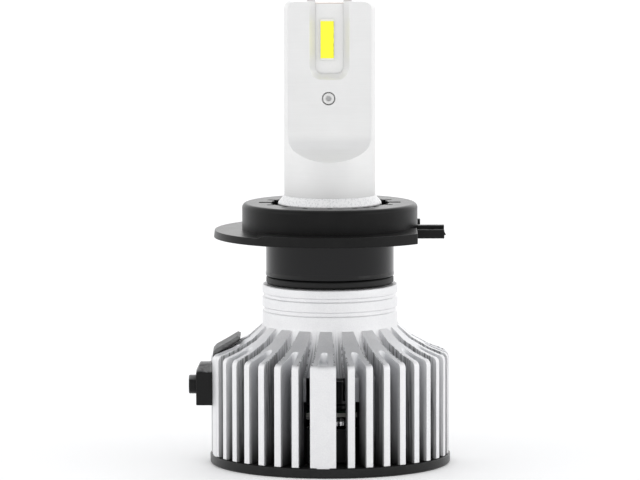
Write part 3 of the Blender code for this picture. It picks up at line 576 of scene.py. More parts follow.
def whiteBoard():
    look = Look("whiteBoard", Specular_IOR_Level=0.5)
    grain = look.noise(0.25, 3)
    # its upper end shows the bare core
    core = look.span(look.axes()[2], 68.30, 68.36)
    white = look.mixed(grain, (0.80, 0.80, 0.79), (0.86, 0.86, 0.85))
    look.set("Base Color", look.mixed(core, white, (0.50, 0.36, 0.27)))
    look.set("Roughness", 0.35 + grain * 0.12)
    look.bumped(grain, 0.008)
    return look.material


def phosphorLayer():
    # the faint emission is painted light: the phosphor glows its own yellow though the strip is unlit
    look = Look("phosphorLayer", Specular_IOR_Level=0.3, Emission_Strength=0.1)
    grain = look.noise(0.12, 3)
    yellow = look.mixed(look.span(grain, 0.3, 0.7), (0.93, 0.90, 0.045), (0.98, 0.97, 0.06))
    # painted shadow: a dark, ragged line along one long edge, as cast by the strip's own thickness
    x, y, _ = look.axes()
    side = x * y.maths("SIGN", y) * -1
    edgeShadow = look.span(side + look.noise(0.5, 3) * 0.22, 0.70, 0.78)
    look.set("Base Color", look.mixed(edgeShadow, yellow, (0.16, 0.14, 0.03)))
    look.set("Emission Color", yellow)
    look.set("Roughness", 0.5 + grain * 0.2)
    look.bumped(grain, 0.01)
    return look.material


looks = {
    "cast": castMetal(),
    "blasted": blastedMetal(),
    "satin": satinMetal(),
    "nylon": blackNylon("blackNylon", 0.003, 0.008),
    "cover": blackNylon("coverNylon", 0.012, 0.020),
    "polished": polishedBlack(),
    "inletNylon": highlightedNylon("inletNylon", 0.0, 14.0, 14.5, (0.09, 0.26), (-19.95, 12.45)),
    "clipNylon": highlightedNylon("clipNylon", 0.62, 27.25, 27.75, (0.10, 0.24)),
    "rubber": darkPolymer("sealRubber", 0.3, (0.004, 0.004, 0.004), (0.010, 0.010, 0.010), 0.4, 0.2, 0.01),
    "fan": darkPolymer("fanNylon", 0.22, (0.003, 0.003, 0.0035), (0.008, 0.008, 0.009), 0.36, 0.14, 0.008),
    "maskedBoard": maskedBoard(),
    "whiteBoard": whiteBoard(),
    "phosphor": phosphorLayer(),
    "steel": metal("brightSteel", (0.62, 0.61, 0.60), 0.3),
    "brass": metal("bearingBrass", (0.70, 0.52, 0.25), 0.3),
    "copper": metal("coilCopper", (0.72, 0.36, 0.22), 0.32, 0.25),
    "solder": metal("solder", (0.82, 0.82, 0.83), 0.22),
    "can": banded("sleevedCan", ((0.014, 0.014, 0.016), 0.0), ((0.72, 0.72, 0.73), 1.0), 13.32, 0.26),
    "spreader": banded("tinnedCopper", ((0.72, 0.36, 0.22), 1.0), ((0.74, 0.72, 0.70), 0.9), 68.0, 0.3),
    "pad": banded("solderPad", ((0.80, 0.80, 0.81), 1.0), ((0.03, 0.03, 0.03), 0.2), 7.68, 0.22),
    "ferrite": dull("ferrite", (0.045, 0.045, 0.05), 0.55),
    "chip": dull("chipEpoxy", (0.018, 0.018, 0.019), 0.4),
    "redWire": dull("redWire", (0.45, 0.03, 0.03), 0.4),
    "dam": dull("whiteDam", (0.88, 0.88, 0.84), 0.45, 0.15, 0.06),
}
print("finishes made:", len(looks))


# base cover

baseCover = {"edge": 0.34, "lip": 0.14, "rings": ((5.6, 7.5), (8.0, 9.9), (10.4, 12.0)), "spokes": 6,
             "spokeWidth": 1.0, "soft": 0.12, "bosses": (-75.5, -3.5, 104.5, 176.5), "bossReach": 16.15,
             "sink": 1.4, "sinkDepth": 0.8, "hole": 0.8, "holeFoot": 0.3}


def makeBaseCover(look):
    low, high = boxOf("base_cover")
    reach, size = high.x, baseCover
    side = [(0, low.z), (reach, low.z, size["edge"]), (reach, high.z, size["lip"]), (0, high.z)]
    bm = spun(side, 160)
    half = 180 / size["spokes"]
    for inner, outer in size["rings"]:
        spoke = math.degrees(size["spokeWidth"] / (inner + outer))
        opening = sector(inner, outer, low.z - 1, high.z + 1, 90 - half + spoke, 90 + half - spoke, 12)
        bm = combined(bm, repeated(opening, shares(size["spokes"])))
    for boss in size["bosses"]:
        at = Matrix.Translation(onHeading(boss, size["bossReach"]))
        sink, through = (size["sink"], -1, size["sinkDepth"]), (size["hole"], size["holeFoot"], high.z + 1)
        for radius, first, last in (sink, through):
            hole = rod(radius, first, last, 32)
            hole.transform(at)
            bm = combined(bm, hole)
    softened(bm, size["soft"], 2, 50)
    finished(bm, "base_cover_skin", "root", look, ["base_cover"])


def screwShape(size, low, high, steps):
    # head down, with a recess of six lobes in the head
    head, shank, shoulder = size["head"], size["shank"], low + size["headHeight"]
    bm = spun([(0, low), (head, low, size["headCorner"]), (head, shoulder), (shank, shoulder),
               (shank, high, size["tip"]), (0, high)], steps)
    lobes, keySteps, depth = 6, 48, size["keyDepth"] / 2
    turns = [fullTurn * i / keySteps for i in range(keySteps)]
    key = [polar(size["key"] - depth + depth * math.cos(lobes * turn), turn) for turn in turns]
    bm = combined(bm, drawn(key, low - 1, low + size["sunk"]))
    return softened(bm, size["soft"], 2, 50)


coverScrew = {"head": 1.3, "headCorner": 0.22, "headHeight": 0.6, "shank": 0.7, "tip": 0.3,
              "key": 0.62, "keyDepth": 0.14, "sunk": 0.42, "soft": 0.05}


def makeCoverScrews(look):
    for number, boss in enumerate(baseCover["bosses"]):
        node = f"cover_screw_{number + 1}"
        low, high = boxOf(node)
        bm = screwShape(coverScrew, low.z, high.z, 40)
        bm.transform(Matrix.Translation(onHeading(boss, baseCover["bossReach"])))
        finished(bm, f"{node}_detail", "root", look, [node])


makeBaseCover(looks["cover"])
makeCoverScrews(looks["steel"])
print("base cover and screws made")


# heat sink

heatSink = {
    "collar": 10.02, "collarFoot": 20.95, "collarEdge": 0.22,
    "grooves": ((24.82, 25.43), (22.70, 23.39)), "grooveDepth": 0.24, "grooveSlope": 0.12, "grooveEdge": 0.08,
    "bellTop": (10.12, 20.4), "bellPull": (11.4, 16.6), "core": 14.6, "bellFoot": 14.35,
    "shoulder": ((8.9, 20.85), (10.18, 20.62), (12.14, 18.88), (14.82, 17.41), (16.68, 16.61)), "corner": 0.9,
    "finSpan": 18, "finRoot": 9.3, "gapHeading": -3.5, "slotIn": 1.4, "slotOut": 1.72, "gapMouth": 13.7,
    "gapEnd": 1.05, "soft": 0.16, "softFrom": 10.4,
    "fan": 13.4, "board": 12.6, "ledge": 9.1, "bayTop": 14.4, "roof": (8.5, 16.2),
    "socket": 7.05, "socketFloor": 21.0, "wireHole": 2.5, "tap": 0.75, "tapDepth": 5.6,
    "windows": ((-15.5, 17.0, 10.8), (-14.0, 8.5, 14.35)), "windowReach": (12.2, 14.9),
    "bandIn": 13.6, "bandWider": 0.06, "bandProud": 0.035, "bandLow": 0.08, "bandSunk": 0.42,
    "bandMiddle": 16.0, "bandCorner": 0.75,
    "clearance": 0.1, "inletDeep": -12.0, "clipDeep": -16.0, "clipSeat": (16.0, 21.0),
}


def slotWidth(reach):
    size = heatSink
    share = (reach - size["bellTop"][0]) / (boxOf("heat_sink")[1].y - size["bellTop"][0])
    return size["slotIn"] + (size["slotOut"] - size["slotIn"]) * share


def shoulderHeight(radius, rim):
    # the height of the fins' top at a radius: straight falls, then a quarter round to the rim
    points, corner = heatSink["shoulder"], heatSink["corner"]
    last = points[-1]
    if radius > last[0]:
        across = min(1.0, (radius - (rim - corner)) / corner)
        return last[1] - corner + corner * math.sqrt(max(0.0, 1 - max(0.0, across) ** 2))
    for (r1, z1), (r2, z2) in zip(points, points[1:]):
        if radius <= r2:
            share = max(0.0, (radius - r1) / (r2 - r1))
            return z1 + (z2 - z1) * share
    return last[1]


def bellCurve(steps=10):
    size = heatSink
    ends = (size["bellTop"], size["bellPull"], (size["core"], size["bellFoot"]))
    points = []
    for i in range(steps + 1):
        t = i / steps
        weights = ((1 - t) ** 2, 2 * t * (1 - t), t * t)
        points.append(tuple(sum(w * p[axis] for w, p in zip(weights, ends)) for axis in (0, 1)))
    return points


def coreShape(low, high):
    size = heatSink
    collar, floor = size["collar"], size["collar"] - size["grooveDepth"]
    slope, edge = size["grooveSlope"], size["grooveEdge"]
    profile = [(0, high.z), (collar, high.z, size["collarEdge"])]
    for bottom, top in size["grooves"]:
        profile += [(collar, top + edge / 2, edge), (floor, top - slope),
                    (floor, bottom + slope), (collar, bottom - edge / 2, edge)]
    profile += [(collar, size["collarFoot"]), *bellCurve(), (size["core"], low.z), (0, low.z)]
    return spun(profile, 160, 3)


def finPair(low, rim):
    # two fins that share a web, about the +X axis: the round-ended gap between them stays open
    size = heatSink
    side = math.radians(size["finSpan"] / 2)
    root = Matrix.Rotation(side, 2) @ Vector((size["finRoot"], -slotWidth(size["finRoot"]) / 2))
    outer = rim + 0.01
    gapTurn = math.asin(slotWidth(outer) / 2 / outer)
    wallTurn = side - gapTurn
    tip = [wallTurn + (gapTurn - wallTurn) * i / 3 for i in range(4)]
    mouth = size["gapEnd"] / 2
    centre = size["gapMouth"] + mouth
    roundEnd = [math.pi / 2 * i / 6 for i in range(7)]
    half = [root, *[polar(rim, turn) for turn in tip]]
    half += [Vector((centre - mouth * math.sin(turn), mouth * math.cos(turn))) for turn in roundEnd]
    outline = half + [Vector((p.x, -p.y)) for p in reversed(half[:-1])]
    bm = bmesh.new()
    bm.faces.new([bm.verts.new((p.x, p.y, 0)) for p in outline])
    # cuts across the fins where their top changes slope, closer together over its rounded end
    corner = rim - size["corner"]
    cuts = [point[0] for point in size["shoulder"][1:-1]]
    cuts += [corner * 0.998 + size["corner"] * math.sin(math.radians(turn)) for turn in (2, 20, 38, 55, 68)]
    for cut in cuts:
        everything = bm.verts[:] + bm.edges[:] + bm.faces[:]
        bmesh.ops.bisect_plane(bm, geom=everything, dist=1e-5, plane_co=(cut, 0, 0), plane_no=(1, 0, 0))
    lifted = bmesh.ops.extrude_face_region(bm, geom=bm.faces[:])["geom"]
    top = [item for item in lifted if isinstance(item, bmesh.types.BMVert)]
    for vert in top:
        vert.co.z = shoulderHeight(math.hypot(vert.co.x, vert.co.y), rim) - low.z
    bmesh.ops.recalc_face_normals(bm, faces=bm.faces)
    bmesh.ops.translate(bm, verts=bm.verts, vec=(0, 0, low.z))
    return softened(bm, size["soft"], 2, 38, lambda edge: min(v.co.x for v in edge.verts) > size["softFrom"])


def bandShape(low, rim):
    # fills a gap where a cover screw's boss stands, just proud of the fins and a little shorter
    size = heatSink
    outer = rim + size["bandProud"]
    side = slotWidth(rim) / 2 + size["bandWider"]
    half = math.asin(side / rim)
    front = [polar(outer, half * share) for share in (-1, -0.5, 0, 0.5, 1)]
    top = shoulderHeight(size["bandMiddle"], rim) - size["bandSunk"]
    bm = drawn([(size["bandIn"], -side), *front, (size["bandIn"], side)], low.z - size["bandLow"], top)
    crown = [edge for edge in bm.edges if min(v.co.z for v in edge.verts) > top - 0.01
             and min(v.co.x for v in edge.verts) > size["bandIn"] + 1]
    bmesh.ops.bevel(bm, geom=crown, affect="EDGES", offset=size["bandCorner"], segments=5,
                    profile=0.5, material=-1)
    return bm


def makeHeatSink(look):
    low, high = boxOf("heat_sink")
    size, rim = heatSink, high.y
    start = headingTurn(size["gapHeading"])
    count = 360 // size["finSpan"]
    fins = repeated(finPair(low, rim), [turnZ(start + fullTurn * i / count) for i in range(count)])
    bm = combined(coreShape(low, high), fins, "UNION")
    bands = repeated(bandShape(low, rim), [turnZ(headingTurn(boss)) for boss in baseCover["bosses"]])
    bm = combined(bm, bands, "UNION")
    roof, roofZ = size["roof"]
    hollow = [(0, low.z - 1), (size["fan"], low.z - 1), (size["fan"], size["ledge"]),
              (size["board"], size["ledge"]), (size["board"], size["bayTop"]),
              (roof, roofZ), (size["wireHole"], roofZ), (size["wireHole"], size["socketFloor"]),
              (size["socket"], size["socketFloor"]), (size["socket"], high.z + 1), (0, high.z + 1)]
    bm = combined(bm, spun(hollow, 120))
    inner, outer = size["windowReach"]
    for first, last, top in size["windows"]:
        window = sector(inner, outer, low.z - 1, top, first, last, 12)
        bm = combined(bm, repeated(window, [turnZ(0), turnZ(math.pi)]))
    gap = size["clearance"]
    near, far = boxOf("inlet_block")
    bm = combined(bm, block((near.x - 1, near.y - gap, near.z - gap),
                            (size["inletDeep"], far.y + gap, far.z + gap)))
    near, far = boxOf("lead_clip")
    bottom, top = size["clipSeat"]
    bm = combined(bm, block((-rim - 1, near.y - gap, bottom), (size["clipDeep"], far.y + gap, top)))
    for boss in baseCover["bosses"]:
        hole = rod(size["tap"], low.z - 1, low.z + size["tapDepth"], 24)
        hole.transform(Matrix.Translation(onHeading(boss, baseCover["bossReach"])))
        bm = combined(bm, hole)
    finished(bm, "heat_sink_casting", "root", look, ["heat_sink"], smooth=34)


makeHeatSink(looks["cast"])
print("heat sink made")


# fan and driver: merged copies of the CAD solids with rounded edges

insides = (   # body, slot, finish, rounding of the edges, nodes
    ("root", "fan_plastic", "fan", 0.10, ["fan_frame"]),
    ("root", "brass", "brass", 0.05, ["fan_bearing"]),
    ("root", "steel", "steel", 0.05, ["fan_stator"]),
    ("root", "copper", "copper", 0.10, [f"fan_coil_{number}" for number in (1, 2, 3, 4)]),
    ("rotor", "fan_plastic", "fan", 0.08, ["fan_rotor"]),
    ("rotor", "ferrite", "ferrite", 0.05, ["fan_magnet"]),
    ("rotor", "steel", "steel", 0.08, ["fan_shaft"]),
    ("root", "board_green", "maskedBoard", 0.05, ["driver_board"]),
    ("root", "machined_aluminium", "can", 0.08, ["driver_capacitor_1", "driver_capacitor_2"]),
    ("root", "ferrite", "ferrite", 0.12, ["driver_inductor"]),
    ("root", "chip_black", "chip", 0.12, ["driver_controller", "driver_mosfet"]),
    ("root", "solder", "pad", 0.14, [f"driver_terminal_{number}" for number in (1, 2, 3)]),
    ("root", "copper", "spreader", 0.06, ["heat_spreader"]),
)
conductors = {"led_wire_plus": "redWire", "led_wire_minus": "rubber",
              "inlet_pin_1": "solder", "inlet_pin_2": "solder"}


def makeInsides():
    for body, slot, look, width, nodes in insides:
        for node in nodes:
            finished(refined(node, width), f"{node}_detail", body, looks[look], [node])
    for node, look in conductors.items():
        # these keep their CAD shape
        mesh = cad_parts[node].data
        mesh.materials.clear()
        mesh.materials.append(looks[look])


makeInsides()
print("fan and driver made")


# supply inlet and lead clip on the heading -90

inlet = {"back": -19.9, "backSlope": 0.6, "chamfer": 1.3, "lean": 0.9, "leanEnd": -17.85, "soft": 0.16,
         "nose": 1.4, "noseZ": 11.6, "noseEdge": 0.2, "noseRoot": 0.5, "bore": 0.95, "boreDepth": 2.2}


def makeInlet(look):
    low, high = boxOf("inlet_block")
    size = inlet
    back, half, chamfer = size["back"], high.y, size["chamfer"]
    outline = [(high.x, low.z), (high.x, high.z), (back + size["backSlope"], high.z),
               (back, high.z - chamfer), (back, low.z)]
    bm = alongY(outline, -half, half)
    # its outer end is shaved along both upper edges
    lean = [(half, high.z - chamfer), (half + 1, high.z - chamfer), (half + 1, high.z + 1),
            (half - size["lean"] * (chamfer + 1) / chamfer, high.z + 1)]
    for side in (1, -1):
        shave = alongX(lean, back - 1, size["leanEnd"])
        if side < 0:
            bmesh.ops.mirror(shave, geom=shave.verts[:] + shave.edges[:] + shave.faces[:], axis="Y")
            bmesh.ops.delete(shave, geom=[v for v in shave.verts if v.co.y > 0], context="VERTS")
            bmesh.ops.recalc_face_normals(shave, faces=shave.faces)
        bm = combined(bm, shave)
    softened(bm, size["soft"], 3)
    length = back - low.x + size["noseRoot"]
    side = [(0, 0), (size["nose"], 0), (size["nose"], length, size["noseEdge"]), (0, length)]
    nose = spun(side, 48)
    sideways = Matrix.Rotation(-math.pi / 2, 4, "Y")
    nose.transform(Matrix.Translation((back + size["noseRoot"], 0, size["noseZ"])) @ sideways)
    bm = combined(bm, nose, "UNION")
    bore = rod(size["bore"], -size["boreDepth"], 1, 40)
    bore.transform(Matrix.Translation((low.x, 0, size["noseZ"])) @ sideways)
    bm = combined(bm, bore)
    finished(bm, "inlet_block_shell", "root", look, ["inlet_block"])


clip = {   # outline points are (x, z, radius) and the leg is (outer x, inner x, y, half width, top)
    "top": ((-17.35, 16.75, 0.25), (-16.9, 17.3, 0.3), (-15.0, 18.35, 1.5), (-13.7, 19.15, 0.2),
            (-13.25, 18.95, 0.1)),
    "under": ((-13.45, 18.4, 0.2), (-14.82, 17.58), (-16.1, 17.03)), "foot": 16.1, "soft": 0.16,
    "leg": (-17.0, -15.4, 1.0, 0.5, 17.3),
}


def makeLeadClip(look):
    low, high = boxOf("lead_clip")
    size = clip
    outline = [(size["top"][0][0], size["foot"]), *size["top"], *size["under"],
               (size["under"][-1][0], size["foot"])]
    bm = alongY(filleted(outline, 3), low.y, high.y)
    outer, inner, y, half, top = size["leg"]
    bm = combined(bm, block((outer, y - half, low.z), (inner, y + half, top)), "UNION")
    softened(bm, size["soft"], 3)
    finished(bm, "lead_clip_shell", "root", look, ["lead_clip"])


makeInlet(looks["inletNylon"])
makeLeadClip(looks["clipNylon"])
print("inlet and clip made")


# hub

hub = {"shaft": 7.75, "foot": 7.6, "footZ": 38.9, "footDrop": 0.5, "throat": 6.76, "flare": 0.3,
       "flareDrop": 0.35, "spigot": 6.95, "shoulder": 26.79, "socket": 6.05, "socketZ": 32.0, "bore": 2.0,
       "lugs": 3, "lug": 8.6, "lugZ": (30.3, 31.5), "lugHeading": 30, "lugHalf": 11, "lugSoft": 0.12}


def makeHub(look):
    low, high = boxOf("hub")
    size = hub
    flare = (size["throat"] + size["flare"], high.z - size["flareDrop"], 0.3)
    profile = [(size["socket"], high.z), (size["throat"] + 0.02, high.z, 0.05), flare,
               (size["foot"], size["footZ"], 0.15), (size["shaft"], size["footZ"] - size["footDrop"], 0.2),
               (size["shaft"], size["shoulder"]), (size["spigot"], size["shoulder"]),
               (size["spigot"], low.z, 0.3), (size["bore"], low.z),
               (size["bore"], size["socketZ"]), (size["socket"], size["socketZ"])]
    bm = spun(profile, rounding=3)
    bottom, top = size["lugZ"]
    first, last = size["lugHeading"] - size["lugHalf"], size["lugHeading"] + size["lugHalf"]
    lug = sector(size["shaft"] - 0.5, size["lug"], bottom, top, first, last, 8)
    softened(lug, size["lugSoft"], 2)
    bm = combined(bm, repeated(lug, shares(size["lugs"])), "UNION")
    finished(bm, "hub_casting", "root", look, ["hub"])


# post: two halves about the light boards

post = {   # the pocket's mouth and floor are (half width, bottom, corner radius)
    "corner": 1.2, "foot": 39.91, "tenon": 5.95, "tenonEdge": 0.3, "split": 0.05, "soft": 0.14,
    "flat": 2.7, "scoop": 3.0, "scoopZ": 47.66, "slope": 31,
    "pocket": (2.95, 57.13, 1.8), "floor": (2.075, 57.98, 1.0), "floorY": 1.6, "recess": 3.3,
    "screwX": -0.15, "screwZ": 54.35, "screwHole": 0.7, "holeEnd": 2.3, "screwBore": 1.0, "screwSink": 0.85,
}


def pocketLoop(share, high):
    wide, narrow = post["pocket"], post["floor"]
    half, bottom, corner = [a + (b - a) * share for a, b in zip(wide, narrow)]
    corners = [(-half, high), (-half, bottom, corner), (half, bottom, corner), (half, high)]
    return filleted(corners, 8, closed=False)


def pocketShape(high):
    # a loft from the wide mouth on the flat to the narrow floor
    size = post
    bm = bmesh.new()
    loops = []
    depth = size["flat"] - size["floorY"]
    for y in (-size["flat"] - 0.3, -size["floorY"] + 0.05):
        share = (y + size["flat"]) / depth
        verts = [bm.verts.new((p[0], y, p[1])) for p in pocketLoop(share, high)]
        bm.faces.new(verts)
        loops += [bm.edges.get((verts[i - 1], verts[i])) for i in range(len(verts))]
    bmesh.ops.bridge_loops(bm, edges=loops)
    bmesh.ops.recalc_face_normals(bm, faces=bm.faces)
    return bm


def flatShape(reach, high):
    # takes off the flat and, at its foot, the slope with a round root
    size = post
    out = reach + 2
    fall = (out + 1 - size["flat"]) * math.tan(math.radians(size["slope"]))
    outline = [(-size["flat"], high), (-size["flat"], size["scoopZ"], size["scoop"]),
               (-out - 1, size["scoopZ"] - fall), (-out - 1, high)]
    return alongX(filleted(outline, 16), -out, out)


def makePostHalf(name, node, angle, look):
    low, high = boxOf(node)
    reach, size = high.x, post
    profile = [(0, high.z), (reach, high.z, size["corner"]), (reach, size["foot"]),
               (size["tenon"], size["foot"]), (size["tenon"], low.z, size["tenonEdge"]), (0, low.z)]
    bm = spun(profile, 128, 6)
    out, above, below = reach + 2, high.z + 2, low.z - 2
    bm = combined(bm, block((-out, -size["split"], below), (out, out, above)))
    bm = combined(bm, flatShape(reach, above))
    bm = combined(bm, pocketShape(above))
    softened(bm, size["soft"], 3, 30, lambda edge: max(v.co.z for v in edge.verts) > size["foot"] + 1)
    bm = combined(bm, block((-size["recess"], -size["floorY"], below), (size["recess"], 1, above)))
    side = size["screwX"] if angle == 0 else -size["screwX"]
    holes = [rod(size["screwHole"], -4, size["holeEnd"], 40)]
    if angle == 0:
        # the screw's head is let into the front half
        bottom = size["flat"] - size["screwSink"]
        holes.append(rod(size["screwBore"], bottom, bottom + 2, 48))
    for hole in holes:
        hole.transform(Matrix.Translation((side, 0, size["screwZ"])) @ Matrix.Rotation(math.pi / 2, 4, "X"))
        bm = combined(bm, hole)
    bm.transform(turnZ(angle))
    finished(bm, name, "root", look, [node])


makeHub(looks["blasted"])
makePostHalf("post_front_half", "post_front", 0, looks["satin"])
makePostHalf("post_rear_half", "post_rear", math.pi, looks["satin"])
print("hub and post made")


# light boards and strips

strip = {"damSunk": 0.10, "depth": 0.25, "side": 0.05, "end": 0.30, "soft": 0.05, "boardSoft": 0.05}


def makeLights():
    # a white dam on each board, with the phosphor a little proud of it
    size = strip
    for label, outward in (("front", -1), ("rear", 1)):
        node = f"led_board_{label}"
        board = refined(node, size["boardSoft"])
        finished(board, f"{node}_detail", "root", looks["whiteBoard"], [node])
        node = f"led_strip_{label}"
        low, high = boxOf(node)
        face, back = (low.y, high.y) if outward < 0 else (high.y, low.y)
        near, far = sorted((face - outward * size["damSunk"], back))
        dam = block((low.x, near, low.z), (high.x, far, high.z))
        softened(dam, size["soft"], 2)
        finished(dam, f"led_dam_{label}", "root", looks["dam"])
        near, far = sorted((face, face - outward * size["depth"]))
        glow = block((low.x + size["side"], near, low.z + size["end"]),
                     (high.x - size["side"], far, high.z - size["end"]))
        softened(glow, size["soft"], 2)
        finished(glow, f"{node}_detail", "root", looks["phosphor"], [node])


postScrew = {"head": 0.87, "headCorner": 0.14, "headHeight": 0.4, "shank": 0.6, "tip": 0.2,
             "key": 0.42, "keyDepth": 0.14, "sunk": 0.38, "soft": 0.04}


def makePostScrew(look):
    low, high = boxOf("post_screw")
    bm = screwShape(postScrew, low.y, high.y, 56)
    place = Matrix.Translation((post["screwX"], 0, post["screwZ"]))
    bm.transform(place @ Matrix.Rotation(-math.pi / 2, 4, "X"))
    finished(bm, "post_screw_detail", "root", look, ["post_screw"])


makeLights()
makePostScrew(screwMetal())
print("lights and screw made")


# seal ring, neck and adaptor

seal = {"inner": 7.95, "round": 0.34}
neck = {"bore": 7.9, "edge": 0.12, "lip": 0.05, "lipTop": 0.3, "lipBlend": 0.65, "channel": 8.8, "half": 13,
        "lock": 25, "lugFoot": 30.1, "lugTop": 31.7}


def makeSealRing(look):
    low, high = boxOf("o_ring")
    inner, outer, corner = seal["inner"], high.x, seal["round"]
    section = [(inner, low.z, corner), (outer, low.z, corner),
               (outer, high.z, corner), (inner, high.z, corner)]
    bm = spun(section, rounding=5)
    finished(bm, "o_ring_skin", "seal", look, ["o_ring"])


def makeNeck(look):
    low, high = boxOf("adaptor_neck")
    size, reach = neck, high.x
    wall = reach - size["lip"]
    section = [(size["bore"], low.z), (reach, low.z, size["edge"]), (reach, low.z + size["lipTop"], 0.1),
               (wall, low.z + size["lipBlend"], 0.2), (wall, high.z), (size["bore"], high.z)]
    bm = spun(section)
    # the hub's lugs come up a channel and then turn along a track
    thirds = shares(hub["lugs"])
    inner = size["bore"] - 0.4
    first, last = hub["lugHeading"] - size["half"], hub["lugHeading"] + size["half"]
    channel = sector(inner, size["channel"], low.z - 1, size["lugTop"], first, last, 8)
    bm = combined(bm, repeated(channel, thirds))
    track = sector(inner, size["channel"] - 0.02, size["lugFoot"], size["lugTop"] - 0.05,
                   first - size["lock"], first + 3, 12)
    bm = combined(bm, repeated(track, thirds))
    finished(bm, "adaptor_neck_skin", "adaptor", look, ["adaptor_neck"])


adaptor = {   # a slit is (width, how far out it ends)
    "flangeTop": 35.2, "draft": 0.2, "bore": 9.64, "flat": 12.85, "edge": 0.16,
    "lobeTop": 34.78, "lobeX": -10.7, "ramp": 1.5,
    "disc": 13.0, "corner": 0.7, "discFoot": 0.4, "discBore": 9.7, "hole": 8.75, "wallZ": 36.9, "soft": 0.11,
    "slits": 16, "slit": (0.76, 10.0), "slitWide": (1.3, 10.5), "slitCorner": 0.2, "wideTurns": (0, 8),
    "notchHeading": 35, "notch": 1.3, "notchEnd": 9.7,
    "tabRoot": 1.5, "tabHalf": 3.95, "tabEnd": 16.9, "tabTop": 35.0,
    "rib": (-2.0, -0.8), "ribRoot": 12.4, "ribFoot": 0.32, "ribChamfer": 0.6, "ribTop": 35.5,
    "bump": ((12.4, 2.6, 34.6), (13.45, 3.6, 35.95)),
}


def discShape(low, high):
    # the slit disc on top of the flange
    size = adaptor
    foot = low.z + size["discFoot"]
    section = [(size["hole"], high.z, 0.15), (size["disc"], high.z, size["corner"]), (size["disc"], foot),
               (size["discBore"], foot), (size["discBore"], size["wallZ"]), (size["hole"], size["wallZ"])]
    bm = spun(section, 160, 6)
    inner, bottom, top = size["hole"] - 0.6, size["wallZ"] - 0.2, high.z + 1
    turns = shares(size["slits"])
    wide = [turns[i] for i in size["wideTurns"]]
    narrow = [turn for turn in turns if turn not in wide]
    corner = size["slitCorner"]
    for (width, end), places in ((size["slit"], narrow), (size["slitWide"], wide)):
        half = width / 2
        outline = [(inner, -half), (end, -half, corner), (end, half, corner), (inner, half)]
        bm = combined(bm, repeated(drawn(filleted(outline, 3), bottom, top), places))
    half = size["notch"] / 2
    notch = block((inner, -half, bottom), (size["notchEnd"], half, top))
    notch.transform(turnZ(headingTurn(size["notchHeading"])))
    bm = combined(bm, notch)
    return softened(bm, size["soft"], 2, 45,
                    lambda edge: min(v.co.z for v in edge.verts) > size["wallZ"] + 0.1)


def makeAdaptor(look):
    low, high = boxOf("adaptor_body")
    size, reach, out = adaptor, -low.x, 2 - low.x
    bm = spun([(size["bore"], low.z), (reach, low.z), (reach - size["draft"], size["flangeTop"]),
               (size["bore"], size["flangeTop"])], 160)
    bm = combined(bm, block((size["flat"], -out, low.z - 1), (out, out, high.z)))
    top, rampEnd = size["flangeTop"] + 1, size["lobeX"] + size["ramp"]
    lobe = [(-out, size["lobeTop"]), (size["lobeX"], size["lobeTop"]), (rampEnd, size["flangeTop"] + 0.05),
            (rampEnd, top), (-out, top)]
    bm = combined(bm, alongY(lobe, -out, out))
    half, root = size["tabHalf"], size["flat"] - size["tabRoot"]
    bm = combined(bm, block((root, -half, low.z + 0.02), (size["tabEnd"], half, size["tabTop"])), "UNION")
    foot = low.z + size["ribFoot"]
    rib = [(size["ribRoot"], foot), (high.x, foot), (size["tabEnd"], foot + size["ribChamfer"]),
           (size["tabEnd"], size["ribTop"]), (size["ribRoot"], size["ribTop"])]
    bm = combined(bm, alongY(rib, *size["rib"]), "UNION")
    bm = combined(bm, block(*size["bump"]), "UNION")
    softened(bm, size["edge"], 2, 35)
    bm = combined(bm, discShape(low, high), "UNION")
    finished(bm, "adaptor_body_moulding", "adaptor", look, ["adaptor_body"])


makeSealRing(looks["rubber"])
makeNeck(looks["polished"])
makeAdaptor(looks["nylon"])
print("adaptor made")


# floor, light and camera

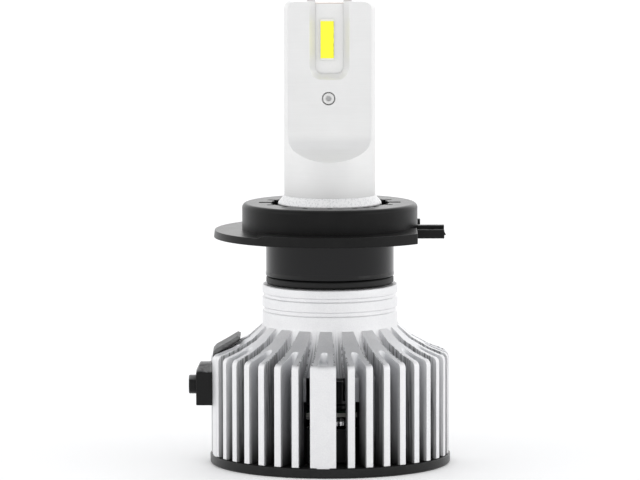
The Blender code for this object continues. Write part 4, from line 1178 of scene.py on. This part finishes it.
stageSetup = {"floor": 30.0, "floorGap": 0.02, "floorTone": (0.95, 0.95, 0.95), "floorGlow": 0.1,
              "horizon": (1.32, 1.32, 1.32), "front": (1.03, 1.03, 1.03), "overhead": (0.68, 0.685, 0.70)}
lamps = (   # name, place in metres, size, watts
    ("keyLight", (-0.9, -0.5, 0.6), 0.9, 0.9),
    ("fillLight", (0.9, -0.4, 0.5), 0.9, 0.9),
    ("topLight", (0.0, 0.3, 1.0), 1.2, 1.2),
    ("backLight", (0.2, 1.0, 0.5), 0.9, 1.2),
)
cameraSetup = {"aim": 33.11, "distance": 797.9, "pitch": 6.11, "lens": 302.6, "sensor": 36, "aside": -1.46,
               "roll": -0.125}


def makeStage():
    bm = bmesh.new()
    bmesh.ops.create_grid(bm, x_segments=8, y_segments=8, size=stageSetup["floor"] / 2)
    mesh = bpy.data.meshes.new("floor")
    bm.to_mesh(mesh)
    bm.free()
    floor = bpy.data.objects.new("floor", mesh)
    floor.location.z = cadBox[0].z - stageSetup["floorGap"] * mm
    bpy.context.scene.collection.objects.link(floor)
    look = Look("floorPaint", Roughness=0.8, Specular_IOR_Level=0.1, Base_Color=stageSetup["floorTone"],
                Emission_Color=stageSetup["floorTone"], Emission_Strength=stageSetup["floorGlow"])
    mesh.materials.append(look.material)
    sky = Sky("studio")
    _, y, z = sky.axes(1)
    level = sky.mixed(sky.span(y, 0.0, -1.0), stageSetup["horizon"], stageSetup["front"])
    sky.set("Color", sky.mixed(sky.span(z, 0.1, 0.9), level, stageSetup["overhead"]))
    bpy.context.scene.world = sky.world
    bpy.context.scene.view_settings.view_transform = "Standard"


def makeLamps():
    target = Vector((0, 0, cameraSetup["aim"] * mm))
    for name, place, size, power in lamps:
        light = bpy.data.lights.new(name, "AREA")
        light.shape = "DISK"
        light.size = size
        light.energy = power
        lamp = bpy.data.objects.new(name, light)
        lamp.location = place
        lamp.rotation_euler = (target - Vector(place)).to_track_quat("-Z", "Y").to_euler()
        bpy.context.scene.collection.objects.link(lamp)


def makeCamera():
    size = cameraSetup
    data = bpy.data.cameras.new("camera")
    data.lens = size["lens"]
    data.sensor_width = size["sensor"]
    data.clip_end = 100
    camera = bpy.data.objects.new("camera", data)
    pitch = math.radians(size["pitch"])
    back, rise = size["distance"] * math.cos(pitch), size["distance"] * math.sin(pitch)
    place = Vector((size["aside"], -back, size["aim"] + rise))
    turn = Matrix.Rotation(math.pi / 2 - pitch, 4, "X") @ turnZ(math.radians(size["roll"]))
    camera.matrix_world = Matrix.Translation(place * mm) @ turn
    bpy.context.scene.collection.objects.link(camera)
    bpy.context.scene.camera = camera


makeStage()
makeLamps()
makeCamera()
print("stage made")
